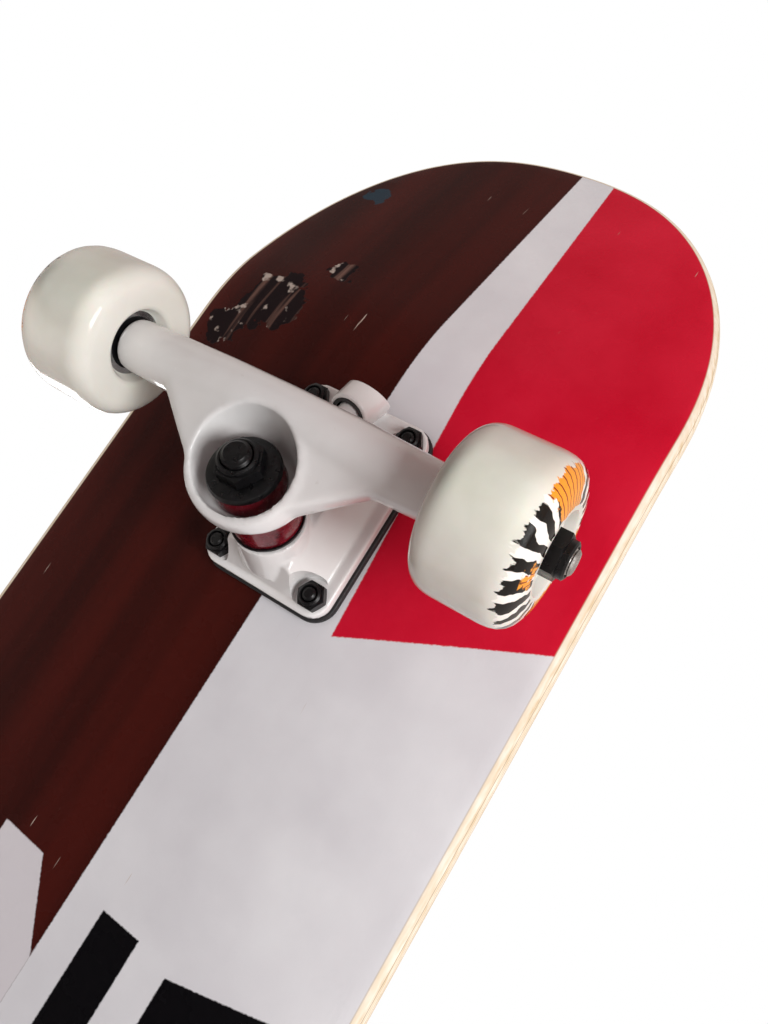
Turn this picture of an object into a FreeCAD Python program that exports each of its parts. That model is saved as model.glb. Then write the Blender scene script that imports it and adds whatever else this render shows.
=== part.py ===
"""Skateboard: a seven-ply deck on two kingpin trucks with four wheels.

Millimetres. The board stands on its wheels with the origin on the ground under the deck's
middle, +X along the board to the front tip, +Y across it and +Z up.
A truck is drawn in its own frame: origin at the middle of its bolt pattern on the deck's
lower face, +X towards the nearer tip. What turns on the kingpin is drawn in the kingpin's
frame: origin at the middle of the hanger's ring, +Z along the kingpin towards the deck.
"""
import FreeCAD, Part
import math
import os
import Sketcher
from FreeCAD import Placement, Rotation, Vector

DIMENSIONS = {
    # deck and grip tape
    "deck_half_length": 401.0, "deck_half_width": 101.5, "deck_thickness": 10.5,
    "deck_underside": 80.0, "flat_half_width": 30.0, "concave_rise": 6.0,
    "kick_start": 251.6, "kick_radius": 107.0, "kick_angle": 19.4, "kick_run": 141.0,
    "nose_length": 125.0, "nose_power": 2.22, "grip_thickness": 0.8,
    # where the trucks bolt on
    "truck_centre": 200.0, "bolt_length_pitch": 63.5, "bolt_width_pitch": 41.3,
    "bolt_radius": 2.4, "bolt_hole_radius": 2.6, "bolt_head_radius": 4.7,
    "bolt_head_height": 2.8, "bolt_reach": 13.3,
    "lock_nut_radius": 5.4, "lock_nut_height": 5.4,
    # riser pad and baseplate
    "plate_length": 80.0, "plate_width": 56.0, "plate_corner": 9.0,
    "riser_thickness": 3.0, "flange_thickness": 4.5,
    "pedestal_low": 20.0, "pedestal_half_width": 15.0, "pedestal_foot_half_width": 24.0,
    "pedestal_foot": 37.0, "pedestal_back": 29.0, "pedestal_front": 11.0,
    "boss_radius": 13.4, "nut_relief_radius": 7.6, "nut_relief_length": 30.0,
    "head_clearance": 0.6,
    # kingpin and what is threaded on it
    "ring_centre_x": -15.0, "ring_centre_drop": 43.0, "kingpin_tilt": 11.0,
    "kingpin_radius": 4.75, "kingpin_hole_radius": 4.9, "kingpin_end": -23.0,
    "kingpin_head_bottom": 24.0, "kingpin_head_height": 6.0, "kingpin_head_radius": 8.2,
    "seat_height": 17.5, "cup_washer_thickness": 1.5, "cup_washer_radius": 12.9,
    "boardside_radius": 12.2, "bushing_hole_radius": 5.0,
    "roadside_wide_radius": 12.0, "roadside_narrow_radius": 9.2,
    "roadside_end": -12.5, "top_washer_end": -14.5, "kingpin_nut_end": -21.0,
    "kingpin_nut_radius": 8.3,
    # hanger
    "ring_seat_low": -4.5, "ring_seat_high": -1.0, "ring_seat_radius": 12.9,
    "ring_hole_radius": 7.5, "ring_radius": 17.6, "ring_rim": -10.5, "ring_skirt": -3.5,
    "bowl_radius": 14.7, "bowl_side_shift": 2.6, "under_clearance": 1.5,
    # the middle web's profile, the gussets beside the ring
    "web_half_width": 12.0, "web_back": 2.0, "web_rise": 14.0, "web_margin": 0.5,
    "web_root_x": 13.0, "web_root_drop": 27.0, "web_low_x": 3.0, "web_low_drop": 33.0,
    "web_skirt_drop": 46.0, "gusset_reach": 46.0, "gusset_front": 4.0, "gusset_edge": 8.0,
    "gusset_half_thickness": 6.0, "gusset_drop": 52.5, "gusset_tilt": 12.0,
    "axle_x": 7.8, "axle_drop": 54.0, "casing_radius": 10.5, "casing_half_length": 63.5,
    "pivot_x": 30.0, "pivot_drop": 19.0, "pivot_ball_radius": 5.0, "pivot_clearance": 0.1,
    "pivot_taper_length": 26.0, "pivot_root_radius": 9.5, "pivot_neck_radius": 4.2,
    "cup_wall": 1.4, "cup_depth": 6.6, "cup_mouth": 2.6, "tower_radius": 8.6, "tower_root": 8.0,
    # axle, bearings and wheels; a bearing is the common 8 x 22 x 7 mm size
    "axle_radius": 3.98, "axle_half_length": 98.5,
    "wheel_radius": 26.0, "wheel_half_width": 16.5, "wheel_centre": 76.5,
    "tread_half_width": 9.0, "shoulder_half_width": 14.2, "shoulder_radius": 23.8,
    "printed_tread_width": 7.2, "printed_shoulder_width": 13.2, "printed_shoulder_radius": 24.0,
    "printed_face_radius": 17.5,
    "face_radius": 20.5, "mouth_radius": 13.0, "spacer_radius": 9.4,
    "bearing_bore": 4.0, "bearing_radius": 11.0, "bearing_width": 7.0,
    "bearing_offset": 8.5, "inner_shoulder": 5.9, "outer_shoulder": 9.1,
    "ball_pitch": 7.5, "ball_radius": 1.96, "race_radius": 2.0,
    "cage_inner": 6.9, "cage_outer": 8.1, "cage_width": 5.0,
    "shield_inner": 6.3, "shield_thickness": 0.3, "shield_inset": 0.3,
    "washer_bore": 4.05, "washer_radius": 5.8, "washer_thickness": 0.9,
    "axle_nut_radius": 7.5, "axle_nut_height": 7.9,
}
BALLS = 7
ENDS = ("front", "rear")
SIDES = {"left": -1, "right": 1}
UP = Vector(0, 0, 1)
ALONG_Y = Rotation(Vector(1, 0, 0), -90)

doc = FreeCAD.newDocument("skateboard")
sheet = doc.addObject("Spreadsheet::Sheet", "Dimensions")
for row, (alias, value) in enumerate(DIMENSIONS.items(), start=1):
    sheet.set(f"A{row}", alias)
    sheet.set(f"B{row}", str(value))
    sheet.setAlias(f"B{row}", alias)
doc.recompute()
parts = []


def size(alias):
    """Give a dimension's value."""
    return float(getattr(sheet, alias))


def formula(text):
    """Turn a sum of aliases into an expression that reads the sheet."""
    words = text.replace("(", "( ").replace(")", " )").split()
    return " ".join("Dimensions." + word if word in DIMENSIONS else word for word in words)


def worth(text):
    """Give the value of a sum of aliases."""
    words = text.replace("(", "( ").replace(")", " )").split()
    total = 0.0
    sign = 1.0
    factor = None
    for word in words:
        if word in "+-":
            sign = -1.0 if word == "-" else 1.0
        elif word in ("*", "/"):
            factor = word
        else:
            amount = size(word) if word in DIMENSIONS else float(word)
            if factor == "*":
                total += last * (amount - 1.0)
                last *= amount
            elif factor == "/":
                total += last * (1.0 / amount - 1.0)
                last /= amount
            else:
                last = sign * amount
                total += last
            factor = None
    return total


def solid(kind, name, **sizes):
    """Add a Part primitive whose properties follow the sheet."""
    item = doc.addObject(kind, name)
    for prop, text in sizes.items():
        item.setExpression(prop, formula(text))
    return item


def cylinder(name, radius, height, at=Vector(), turn=Rotation()):
    """Add a cylinder, its base at a place and its axis turned from +Z."""
    item = solid("Part::Cylinder", name, Radius=radius, Height=height)
    item.Placement = Placement(at, turn)
    return item


def hexagon(name, radius, height, at=Vector(), turn=Rotation()):
    """Add a hexagonal prism for a nut or a bolt head."""
    item = solid("Part::Prism", name, Circumradius=radius, Height=height)
    item.Polygon = 6
    item.Placement = Placement(at, turn)
    return item


def cut(name, base, tool):
    """Cut one shape from another."""
    item = doc.addObject("Part::Cut", name)
    item.Base = base
    item.Tool = tool
    return item


def join(name, shapes):
    """Fuse shapes into one solid."""
    item = doc.addObject("Part::MultiFuse", name)
    item.Shapes = shapes
    return item


def group(name, shapes):
    """Hold separate solids together as one object."""
    item = doc.addObject("Part::Compound", name)
    item.Links = shapes
    return item


def sub_part(label, item, place=Placement()):
    """Name a finished sub-part and put it in its place on the board."""
    item.Label = label
    item.Placement = place.multiply(item.Placement)
    parts.append(item)
    return item


def origin_plane(body, role):
    """Find one of a body's own origin planes."""
    return next(feature for feature in body.Origin.OriginFeatures if feature.Role == role)


def plane_sketch(body, name, role):
    """Add a sketch on one of a body's own origin planes."""
    sketch = body.newObject("Sketcher::SketchObject", name)
    sketch.AttachmentSupport = [(origin_plane(body, role), "")]
    sketch.MapMode = "FlatFace"
    return sketch


def pin_point(sketch, line, end, across, up):
    """Hold a line's end at two distances from the sketch's axes, taken from the sheet."""
    for kind, text, axis in (("DistanceX", across, -2), ("DistanceY", up, -1)):
        if text == "0":
            sketch.addConstraint(Sketcher.Constraint("PointOnObject", line, end, axis))
        else:
            value = worth(text)
            number = sketch.addConstraint(Sketcher.Constraint(kind, -1, 1, line, end, value))
            sketch.setExpression(f"Constraints[{number}]", formula(text))


def draw_outline(sketch, corners):
    """Draw a closed outline of straight lines, each corner held by the sheet."""
    points = [Vector(worth(across), worth(up), 0) for across, up in corners]
    for index, corner in enumerate(corners):
        following = points[(index + 1) % len(points)]
        sketch.addGeometry(Part.LineSegment(points[index], following), False)
    for index, corner in enumerate(corners):
        previous = (index - 1) % len(corners)
        sketch.addConstraint(Sketcher.Constraint("Coincident", previous, 2, index, 1))
        pin_point(sketch, index, 1, *corner)


def turned(name, corners, place=Placement()):
    """Make a round piece: an outline of radius and height, revolved about Z."""
    body = doc.addObject("PartDesign::Body", name)
    sketch = plane_sketch(body, name + "_profile", "XZ_Plane")
    draw_outline(sketch, corners)
    revolution = body.newObject("PartDesign::Revolution", name + "_revolution")
    revolution.Profile = sketch
    revolution.ReferenceAxis = (sketch, ["V_Axis"])
    revolution.Angle = 360
    body.Placement = place
    return body


def tube(name, inner, outer, low, high, place=Placement()):
    """Make a round tube between two heights."""
    corners = [(inner, low), (outer, low), (outer, high), (inner, high)]
    return turned(name, corners, place)


def bolt_places():
    """Give the four bolt positions about a truck's centre."""
    across = size("bolt_length_pitch") / 2
    along = size("bolt_width_pitch") / 2
    return [Vector(sx * across, sy * along, 0) for sx in (-1, 1) for sy in (-1, 1)]


# ---------------------------------------------------------------- deck and grip tape

def plan_prism(name):
    """Make the upright prism of the deck's plan outline, a superellipse at each end."""
    half_width = size("deck_half_width")
    nose = size("nose_length")
    straight = size("deck_half_length") - nose
    power = 2 / size("nose_power")
    steps = 12
    quarter = []
    for step in range(steps + 1):
        angle = math.pi / 2 * (1 - step / steps)
        reach = straight + nose * abs(math.cos(angle)) ** power
        quarter.append(Vector(reach, half_width * math.sin(angle) ** power, 0))
    quarter[-1] = Vector(straight + nose, 0, 0)
    nose_points = quarter + [Vector(point.x, -point.y, 0) for point in reversed(quarter[:-1])]
    edges = []
    for sign in (1, -1):
        curve = Part.BSplineCurve()
        curve.interpolate([Vector(sign * point.x, sign * point.y, 0) for point in nose_points])
        edges.append(curve.toShape())
        corner = Vector(sign * straight, -sign * half_width, 0)
        edges.append(Part.makeLine(corner, Vector(-corner.x, corner.y, 0)))
    prism = doc.addObject("Part::Feature", name)
    face = Part.Face(Part.Wire(Part.__sortEdges__(edges)))
    prism.Shape = face.extrude(Vector(0, 0, 3 * size("deck_underside")))
    prism.Placement = Placement(Vector(0, 0, -size("deck_underside")), Rotation())
    return prism


def section_sketch(body, name, low, high):
    """Draw a layer's cross-section: a flat middle and an arc up to each edge."""
    sketch = plane_sketch(body, name, "YZ_Plane")
    flat = size("flat_half_width")
    half_width = size("deck_half_width") + 1
    rise = size("concave_rise")
    run = half_width - flat
    radius = (run * run + rise * rise) / (2 * rise)
    middle = math.asin(run / radius) / 2
    bow = Vector(radius * math.sin(middle), radius * (1 - math.cos(middle)), 0)
    for index, text in enumerate((low, high)):
        level = Vector(0, worth(text), 0)
        inner = Vector(flat, 0, 0) + level
        sketch.addGeometry(Part.LineSegment(Vector(-flat, level.y, 0), inner), False)
        outer = Vector(half_width, rise, 0) + level
        sketch.addGeometry(Part.Arc(inner, inner + bow, outer), False)
        left = [Vector(-point.x, point.y, 0) for point in (outer, inner + bow, inner)]
        sketch.addGeometry(Part.Arc(*left), False)
        line = 3 * index
        sketch.addConstraint(Sketcher.Constraint("Tangent", line, 2, line + 1, 1))
        sketch.addConstraint(Sketcher.Constraint("Tangent", line, 1, line + 2, 2))
        pin_point(sketch, line, 1, "0 - flat_half_width", text)
        pin_point(sketch, line, 2, "flat_half_width", text)
        pin_point(sketch, line + 1, 2, "deck_half_width + 1", text + " + concave_rise")
        pin_point(sketch, line + 2, 1, "0 - deck_half_width - 1", text + " + concave_rise")
    for index, (lower, upper, end) in enumerate(((1, 4, 2), (2, 5, 1))):
        side = half_width * (1 - 2 * index)
        start = Vector(side, worth(low) + rise, 0)
        sketch.addGeometry(Part.LineSegment(start, Vector(side, worth(high) + rise, 0)), False)
        sketch.addConstraint(Sketcher.Constraint("Coincident", 6 + index, 1, lower, end))
        sketch.addConstraint(Sketcher.Constraint("Coincident", 6 + index, 2, upper, end))
    return sketch


def path_sketch(body, name):
    """Draw half of the deck's side view: the flat, the kick's bend and its straight end."""
    sketch = plane_sketch(body, name, "XZ_Plane")
    angle = math.radians(size("kick_angle"))
    radius = size("kick_radius")
    start = Vector(size("kick_start"), 0, 0)
    middle = start + Vector(radius * math.sin(angle / 2), radius * (1 - math.cos(angle / 2)), 0)
    end = start + Vector(radius * math.sin(angle), radius * (1 - math.cos(angle)), 0)
    tip = end + Vector(math.cos(angle), math.sin(angle), 0) * size("kick_run")
    sketch.addGeometry(Part.LineSegment(Vector(), start), False)
    sketch.addGeometry(Part.Arc(start, middle, end), False)
    sketch.addGeometry(Part.LineSegment(end, tip), False)
    sketch.addConstraint(Sketcher.Constraint("Coincident", 0, 1, -1, 1))
    sketch.addConstraint(Sketcher.Constraint("Horizontal", 0))
    sketch.addConstraint(Sketcher.Constraint("Tangent", 0, 2, 1, 1))
    sketch.addConstraint(Sketcher.Constraint("Tangent", 1, 2, 2, 1))
    for kind, where, value, text in (
            ("DistanceX", (0, 1, 0, 2), size("kick_start"), "kick_start"),
            ("Radius", (1,), radius, "kick_radius"),
            ("Distance", (2,), size("kick_run"), "kick_run")):
        number = sketch.addConstraint(Sketcher.Constraint(kind, *where, value))
        sketch.setExpression(f"Constraints[{number}]", formula(text))
    number = sketch.addConstraint(Sketcher.Constraint("Angle", 2, angle))
    sketch.setExpression(f"Constraints[{number}]", formula("kick_angle") + " * 1 deg")
    return sketch


def bent_layer(name, low, high):
    """Sweep a layer's section along half of the board, mirror it and cut it to the plan."""
    body = doc.addObject("PartDesign::Body", name + "_blank")
    section = section_sketch(body, name + "_section", low, high)
    path = path_sketch(body, name + "_path")
    sweep = body.newObject("PartDesign::AdditivePipe", name + "_sweep")
    sweep.Profile = section
    sweep.Spine = (path, [])
    mirrored = body.newObject("PartDesign::Mirrored", name + "_mirrored")
    mirrored.Originals = [sweep]
    mirrored.MirrorPlane = (origin_plane(body, "YZ_Plane"), [""])
    body.Tip = mirrored
    layer = doc.addObject("Part::Common", name + "_layer")
    layer.Base = body
    layer.Tool = plan_prism(name + "_plan")
    return layer


def deck_holes(name):
    """Make the eight bolt holes with their countersinks, as one cutting tool."""
    deep = "deck_thickness - bolt_head_height"
    corners = [("0", "0 - 5"), ("bolt_hole_radius", "0 - 5"), ("bolt_hole_radius", deep),
               ("bolt_head_radius + 0.2", "deck_thickness"),
               ("bolt_head_radius + 0.2", "deck_thickness + 5"), ("0", "deck_thickness + 5")]
    tools = []
    for end in (-1, 1):
        for number, place in enumerate(bolt_places()):
            at = place + Vector(end * size("truck_centre"), 0, 0)
            tools.append(turned(f"{name}_{end + 1}{number}", corners, Placement(at, Rotation())))
    return group(name, tools)


def make_deck():
    """Make the deck and the grip tape on it."""
    lift = Placement(Vector(0, 0, size("deck_underside")), Rotation())
    wood = bent_layer("wood", "0", "deck_thickness")
    sub_part("deck", cut("deck", wood, deck_holes("deck_holes")), lift)
    grip = bent_layer("grip", "deck_thickness", "deck_thickness + grip_thickness")
    sub_part("grip_tape", cut("grip_tape", grip, deck_holes("grip_holes")), lift)


# ---------------------------------------------------------------- trucks

def truck_frame(end):
    """Give the place of a truck's frame; the rear truck faces backwards."""
    turn = Rotation(UP, 0 if end == "front" else 180)
    sign = 1 if end == "front" else -1
    return Placement(Vector(sign * size("truck_centre"), 0, size("deck_underside")), turn)


def kingpin_frame():
    """Give the kingpin's frame within the truck's frame."""
    centre = Vector(size("ring_centre_x"), 0, -size("ring_centre_drop"))
    return Placement(centre, Rotation(Vector(0, 1, 0), -size("kingpin_tilt")))


def pivot_frame():
    """Give the pivot's frame: +Z runs along the steering axis, up and out of the ring."""
    pivot = Vector(size("pivot_x"), 0, -size("pivot_drop"))
    return Placement(pivot, Rotation(UP, pivot - kingpin_frame().Base))


def plate(name, thickness, drop):
    """Make a plate with round corners, its lower face at a drop below the deck."""
    box = solid("Part::Box", name + "_box", Length="plate_length", Width="plate_width",
                Height=thickness)
    corner = Vector(-size("plate_length") / 2, -size("plate_width") / 2, -worth(drop))
    box.Placement = Placement(corner, Rotation())
    doc.recompute()
    rounded = doc.addObject("Part::Fillet", name + "_rounded")
    rounded.Base = box
    upright = [number for number, edge in enumerate(box.Shape.Edges, start=1)
               if abs(edge.tangentAt(edge.FirstParameter).z) > 0.9]
    rounded.Edges = [(number, size("plate_corner"), size("plate_corner")) for number in upright]
    return rounded


def bolt_drills(name):
    """Make the four bolt clearance holes of a plate as one cutting tool."""
    drills = [cylinder(f"{name}_{number}", "bolt_hole_radius", "deck_underside",
                       place - UP * (size("deck_underside") / 2))
              for number, place in enumerate(bolt_places())]
    return group(name, drills)


def make_riser(end, place):
    """Make the riser pad between the deck and the baseplate."""
    pad = plate(end + "_riser", "riser_thickness", "riser_thickness")
    pad = cut(end + "_riser_pad", pad, bolt_drills(end + "_riser_drills"))
    sub_part(end + "_riser_pad", pad, place)


def pedestal(name):
    """Make the baseplate's raised middle, narrower away from the deck."""
    block = solid("Part::Wedge", name, Xmin="0 - pedestal_foot", Xmax="pedestal_foot",
                  Zmin="0 - pedestal_foot_half_width", Zmax="pedestal_foot_half_width",
                  X2min="0 - pedestal_back", X2max="pedestal_front",
                  Z2min="0 - pedestal_half_width", Z2max="pedestal_half_width",
                  Ymin="riser_thickness + 1", Ymax="pedestal_low")
    block.Placement = Placement(Vector(), Rotation(Vector(1, 0, 0), -90))
    return block


def make_baseplate(end, place):
    """Make the cast baseplate: flange, pedestal, kingpin boss and pivot tower."""
    name = end + "_base"
    kingpin = kingpin_frame()
    pivot = pivot_frame()
    boss_at = kingpin.multVec(Vector(0, 0, size("seat_height")))
    tower_at = pivot.multVec(Vector(0, 0, -size("cup_mouth")))
    masses = [plate(name + "_flange", "flange_thickness", "riser_thickness + flange_thickness"),
              pedestal(name + "_pedestal"),
              cylinder(name + "_boss", "boss_radius", "seat_height", boss_at, kingpin.Rotation),
              cylinder(name + "_tower", "tower_radius", "cup_depth + cup_mouth + tower_root",
                       tower_at, pivot.Rotation)]
    limits = solid("Part::Box", name + "_limits", Length="plate_length", Width="plate_width",
                   Height="ring_centre_drop")
    corner = Vector(-size("plate_length") / 2, -size("plate_width") / 2,
                    -size("ring_centre_drop") - size("riser_thickness"))
    limits.Placement = Placement(corner, Rotation())
    trimmed = doc.addObject("Part::Common", name + "_trimmed")
    trimmed.Base = join(name + "_masses", masses)
    trimmed.Tool = limits
    head_at = kingpin.multVec(Vector(0, 0, size("kingpin_head_bottom")))
    socket_at = pivot.multVec(Vector(0, 0, -2 * size("cup_mouth")))
    tools = [cylinder(name + "_bore", "kingpin_hole_radius", "ring_centre_drop", kingpin.Base,
                      kingpin.Rotation),
             cylinder(name + "_head_room", "kingpin_head_radius + head_clearance",
                      "ring_centre_drop",
                      head_at, kingpin.Rotation),
             cylinder(name + "_socket", "pivot_ball_radius + pivot_clearance + cup_wall",
                      "cup_depth + cup_mouth * 2", socket_at, pivot.Rotation)]
    for number, bolt in enumerate(bolt_places()):
        low = bolt - UP * (size("riser_thickness") + size("flange_thickness")
                           + size("nut_relief_length"))
        tools.append(cylinder(f"{name}_relief_{number}", "nut_relief_radius",
                              "nut_relief_length", low))
        tools.append(cylinder(f"{name}_drill_{number}", "bolt_hole_radius", "deck_underside",
                              bolt - UP * (size("deck_underside") / 2)))
    sub_part(end + "_baseplate", cut(end + "_baseplate", trimmed, join(name + "_tools", tools)),
             place)


def make_pivot_cup(end, place):
    """Make the plastic cup that the hanger's pivot sits in."""
    inner = "pivot_ball_radius + pivot_clearance"
    outer = inner + " + cup_wall"
    corners = [(inner, "0 - cup_mouth"), (outer, "0 - cup_mouth"), (outer, "cup_depth"),
               ("0", "cup_depth"), ("0", inner), (inner, inner)]
    cup = turned(end + "_cup", corners)
    sub_part(end + "_pivot_cup", cup, place.multiply(pivot_frame()))


def make_kingpin(end, place):
    """Make the kingpin bolt, its hexagonal head sunk into the baseplate's upper side."""
    shank = turned(end + "_shank", [
        ("0", "kingpin_end"), ("kingpin_radius - 0.7", "kingpin_end"),
        ("kingpin_radius", "kingpin_end + 0.8"), ("kingpin_radius", "kingpin_head_bottom + 1"),
        ("0", "kingpin_head_bottom + 1")])
    head = hexagon(end + "_head", "kingpin_head_radius", "kingpin_head_height",
                   Vector(0, 0, size("kingpin_head_bottom")))
    sub_part(end + "_kingpin", join(end + "_kingpin", [shank, head]), place)


def make_bushings(end, place):
    """Make the two urethane bushings and the two cup washers outside them."""
    washer_top = "seat_height - 0.02"
    washer_bottom = "seat_height - cup_washer_thickness"
    tubes = (("lower_cup_washer", "cup_washer_radius", washer_bottom, washer_top),
             ("boardside_bushing", "boardside_radius", "ring_seat_high + 0.02", washer_bottom),
             ("top_cup_washer", "roadside_wide_radius", "top_washer_end", "roadside_end"))
    for label, outer, low, high in tubes:
        piece = tube(f"{end}_{label}_tube", "bushing_hole_radius", outer, low, high)
        sub_part(f"{end}_{label}", piece, place)
    cone = turned(end + "_cone", [
        ("bushing_hole_radius", "roadside_end"), ("roadside_narrow_radius", "roadside_end"),
        ("roadside_wide_radius", "ring_seat_low - 0.02"),
        ("bushing_hole_radius", "ring_seat_low - 0.02")])
    sub_part(end + "_roadside_bushing", cone, place)


def nut(name, radius, height, bore, at):
    """Make a hexagonal nut with a plain bore."""
    body = hexagon(name + "_body", radius, height, at)
    return cut(name, body, cylinder(name + "_bore", bore, height, at))


def make_kingpin_nut(end, place):
    """Make the lock nut that holds the bushings."""
    at = Vector(0, 0, size("kingpin_nut_end"))
    piece = nut(end + "_kingpin_nut", "kingpin_nut_radius",
                "top_washer_end - kingpin_nut_end", "kingpin_radius + 0.02", at)
    sub_part(end + "_kingpin_nut", piece, place)


def make_bolts(end, place):
    """Make the four mounting bolts and their lock nuts."""
    corners = [("0", "0 - bolt_reach"), ("bolt_radius", "0 - bolt_reach"),
               ("bolt_radius", "deck_thickness - bolt_head_height"),
               ("bolt_head_radius", "deck_thickness + 0.2"), ("0", "deck_thickness + 0.2")]
    flange_face = size("riser_thickness") + size("flange_thickness")
    bolts = []
    nuts = []
    for number, at in enumerate(bolt_places()):
        bolts.append(turned(f"{end}_bolt_{number}", corners, Placement(at, Rotation())))
        under = at - UP * (flange_face + size("lock_nut_height"))
        nuts.append(nut(f"{end}_nut_{number}", "lock_nut_radius", "lock_nut_height",
                        "bolt_radius + 0.02", under))
    sub_part(end + "_mounting_bolts", group(end + "_bolts", bolts), place)
    sub_part(end + "_mounting_nuts", group(end + "_nuts", nuts), place)


def oval(name, radius, low, high, kingpin):
    """Make an upright block about the kingpin, round at both sides and wider across the board."""
    height = f"{high} - ( {low} )"
    sides = [cylinder(f"{name}_{side}", radius, height,
                      kingpin.multVec(Vector(0, sign * size("bowl_side_shift"), worth(low))),
                      kingpin.Rotation)
             for side, sign in SIDES.items()]
    middle = solid("Part::Box", name + "_middle", Length=radius + " * 2",
                   Width="bowl_side_shift * 2", Height=height)
    corner = Vector(-worth(radius), -size("bowl_side_shift"), worth(low))
    middle.Placement = kingpin.multiply(Placement(corner, Rotation()))
    return join(name, sides + [middle])


def web_prism(name, role, corners, half_width):
    """Pad an outline on both sides of one of the hanger's planes."""
    body = doc.addObject("PartDesign::Body", name)
    sketch = plane_sketch(body, name + "_outline", role)
    draw_outline(sketch, corners)
    pad = body.newObject("PartDesign::Pad", name + "_pad")
    pad.Profile = sketch
    pad.Midplane = True
    pad.setExpression("Length", formula(half_width + " * 2"))
    return body


def make_hanger(end, place):
    """Make the hanger: dished ring, axle casing, webs and the tapered pivot."""
    name = end + "_hanger"
    kingpin = kingpin_frame()
    pivot = pivot_frame()
    casing_at = Vector(size("axle_x"), -size("casing_half_length"), -size("axle_drop"))
    casing = cylinder(name + "_casing", "casing_radius", "casing_half_length * 2", casing_at,
                      ALONG_Y)
    side_web = web_prism(name + "_side_web", "XZ_Plane", [
        ("ring_centre_x - web_back", "0 - ring_centre_drop - web_rise"),
        ("axle_x", "0 - axle_drop - casing_radius + web_margin"),
        ("axle_x + casing_radius - web_margin", "0 - axle_drop"),
        ("axle_x + casing_radius - web_margin * 3", "0 - ring_centre_drop"),
        ("web_root_x", "0 - web_root_drop"), ("web_low_x", "0 - web_low_drop"),
        ("ring_centre_x", "0 - web_skirt_drop")], "web_half_width")
    gussets = web_prism(name + "_gussets", "XY_Plane", [
        ("axle_x + gusset_front", "0 - gusset_reach"),
        ("axle_x - gusset_edge", "0 - gusset_reach"),
        ("ring_centre_x", "0 - ring_radius"), ("ring_centre_x", "ring_radius"),
        ("axle_x - gusset_edge", "gusset_reach"),
        ("axle_x + gusset_front", "gusset_reach")], "gusset_half_thickness")
    gussets.Placement = Placement(Vector(0, 0, -size("gusset_drop")),
                                  Rotation(Vector(0, 1, 0), size("gusset_tilt")))
    shell = oval(name + "_shell", "ring_radius", "ring_rim", "ring_skirt", kingpin)
    masses = join(name + "_web_masses", [casing, side_web, gussets, shell])
    room = [oval(name + "_bowl", "bowl_radius", "ring_seat_low - 40", "ring_seat_low", kingpin),
            cylinder(name + "_ring_hole", "ring_hole_radius", "ring_radius * 2",
                     kingpin.multVec(Vector(0, 0, -size("ring_radius"))), kingpin.Rotation)]
    under = cylinder(name + "_under", "boardside_radius + under_clearance", "ring_radius",
                     kingpin.multVec(Vector(0, 0, size("ring_seat_high"))), kingpin.Rotation)
    seat = tube(name + "_seat", "ring_hole_radius", "ring_seat_radius", "ring_seat_low",
                "ring_seat_high", kingpin)
    webs = cut(name + "_webs", masses, join(name + "_room", room + [under]))
    taper = solid("Part::Cone", name + "_taper", Radius1="pivot_root_radius",
                  Radius2="pivot_neck_radius", Height="pivot_taper_length")
    taper.Placement = Placement(pivot.multVec(Vector(0, 0, -size("pivot_taper_length"))),
                                pivot.Rotation)
    ball = solid("Part::Sphere", name + "_ball", Radius="pivot_ball_radius")
    ball.Placement = pivot
    masses = [webs, seat, taper, ball]
    axle_bore = cylinder(name + "_axle_bore", "axle_radius", "casing_half_length * 2", casing_at,
                         ALONG_Y)
    hanger = cut(name, join(name + "_masses", masses), axle_bore)
    sub_part(name, hanger, place)


# ---------------------------------------------------------------- axles, bearings, wheels

def axle_frame(end):
    """Give the axle's frame: origin at its middle, +Z along the axle towards +Y."""
    sign = 1 if end == "front" else -1
    middle = Vector(sign * (size("truck_centre") + size("axle_x")), 0,
                    size("deck_underside") - size("axle_drop"))
    return Placement(middle, ALONG_Y)


def side_place(sign, offset=0.0):
    """Give a place on the axle, facing outwards, at an offset from the wheel's middle."""
    turn = Rotation() if sign > 0 else Rotation(Vector(1, 0, 0), 180)
    return Placement(Vector(0, 0, sign * (size("wheel_centre") + offset)), turn)


def make_axle(end, place):
    """Make the axle, its speed washers and its end nuts."""
    axle = turned(end + "_rod", [
        ("0", "0 - axle_half_length"), ("axle_radius - 0.8", "0 - axle_half_length"),
        ("axle_radius", "1 - axle_half_length"), ("axle_radius", "axle_half_length - 1"),
        ("axle_radius - 0.8", "axle_half_length"), ("0", "axle_half_length")])
    sub_part(end + "_axle", axle, place)
    stack = size("bearing_offset") + size("bearing_width") / 2 + 0.05
    washers = []
    nuts = []
    for side, sign in SIDES.items():
        inner = side_place(sign, -stack - size("washer_thickness"))
        outer = side_place(sign, stack)
        for number, spot in enumerate((inner, outer)):
            washers.append(tube(f"{end}_{side}_washer_{number}", "washer_bore", "washer_radius",
                                "0", "washer_thickness", spot))
        piece = nut(f"{end}_{side}_nut", "axle_nut_radius", "axle_nut_height",
                    "axle_radius + 0.02", Vector())
        piece.Placement = side_place(sign, stack + size("washer_thickness") + 0.1)
        nuts.append(piece)
    sub_part(end + "_speed_washers", group(end + "_washers", washers), place)
    sub_part(end + "_axle_nuts", group(end + "_nuts_of_axle", nuts), place)


def bearing_spots(sign):
    """Give the places of a wheel's two bearings, each middle on the axle."""
    return [side_place(sign, offset * size("bearing_offset")) for offset in (-1, 1)]


def race_ring(name, inner, outer, spot):
    """Make a bearing ring with a round groove for the balls."""
    blank = tube(name + "_blank", inner, outer, "0 - bearing_width / 2", "bearing_width / 2")
    groove = solid("Part::Torus", name + "_groove", Radius1="ball_pitch", Radius2="race_radius")
    ring = cut(name, blank, groove)
    ring.Placement = spot
    return ring


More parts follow.
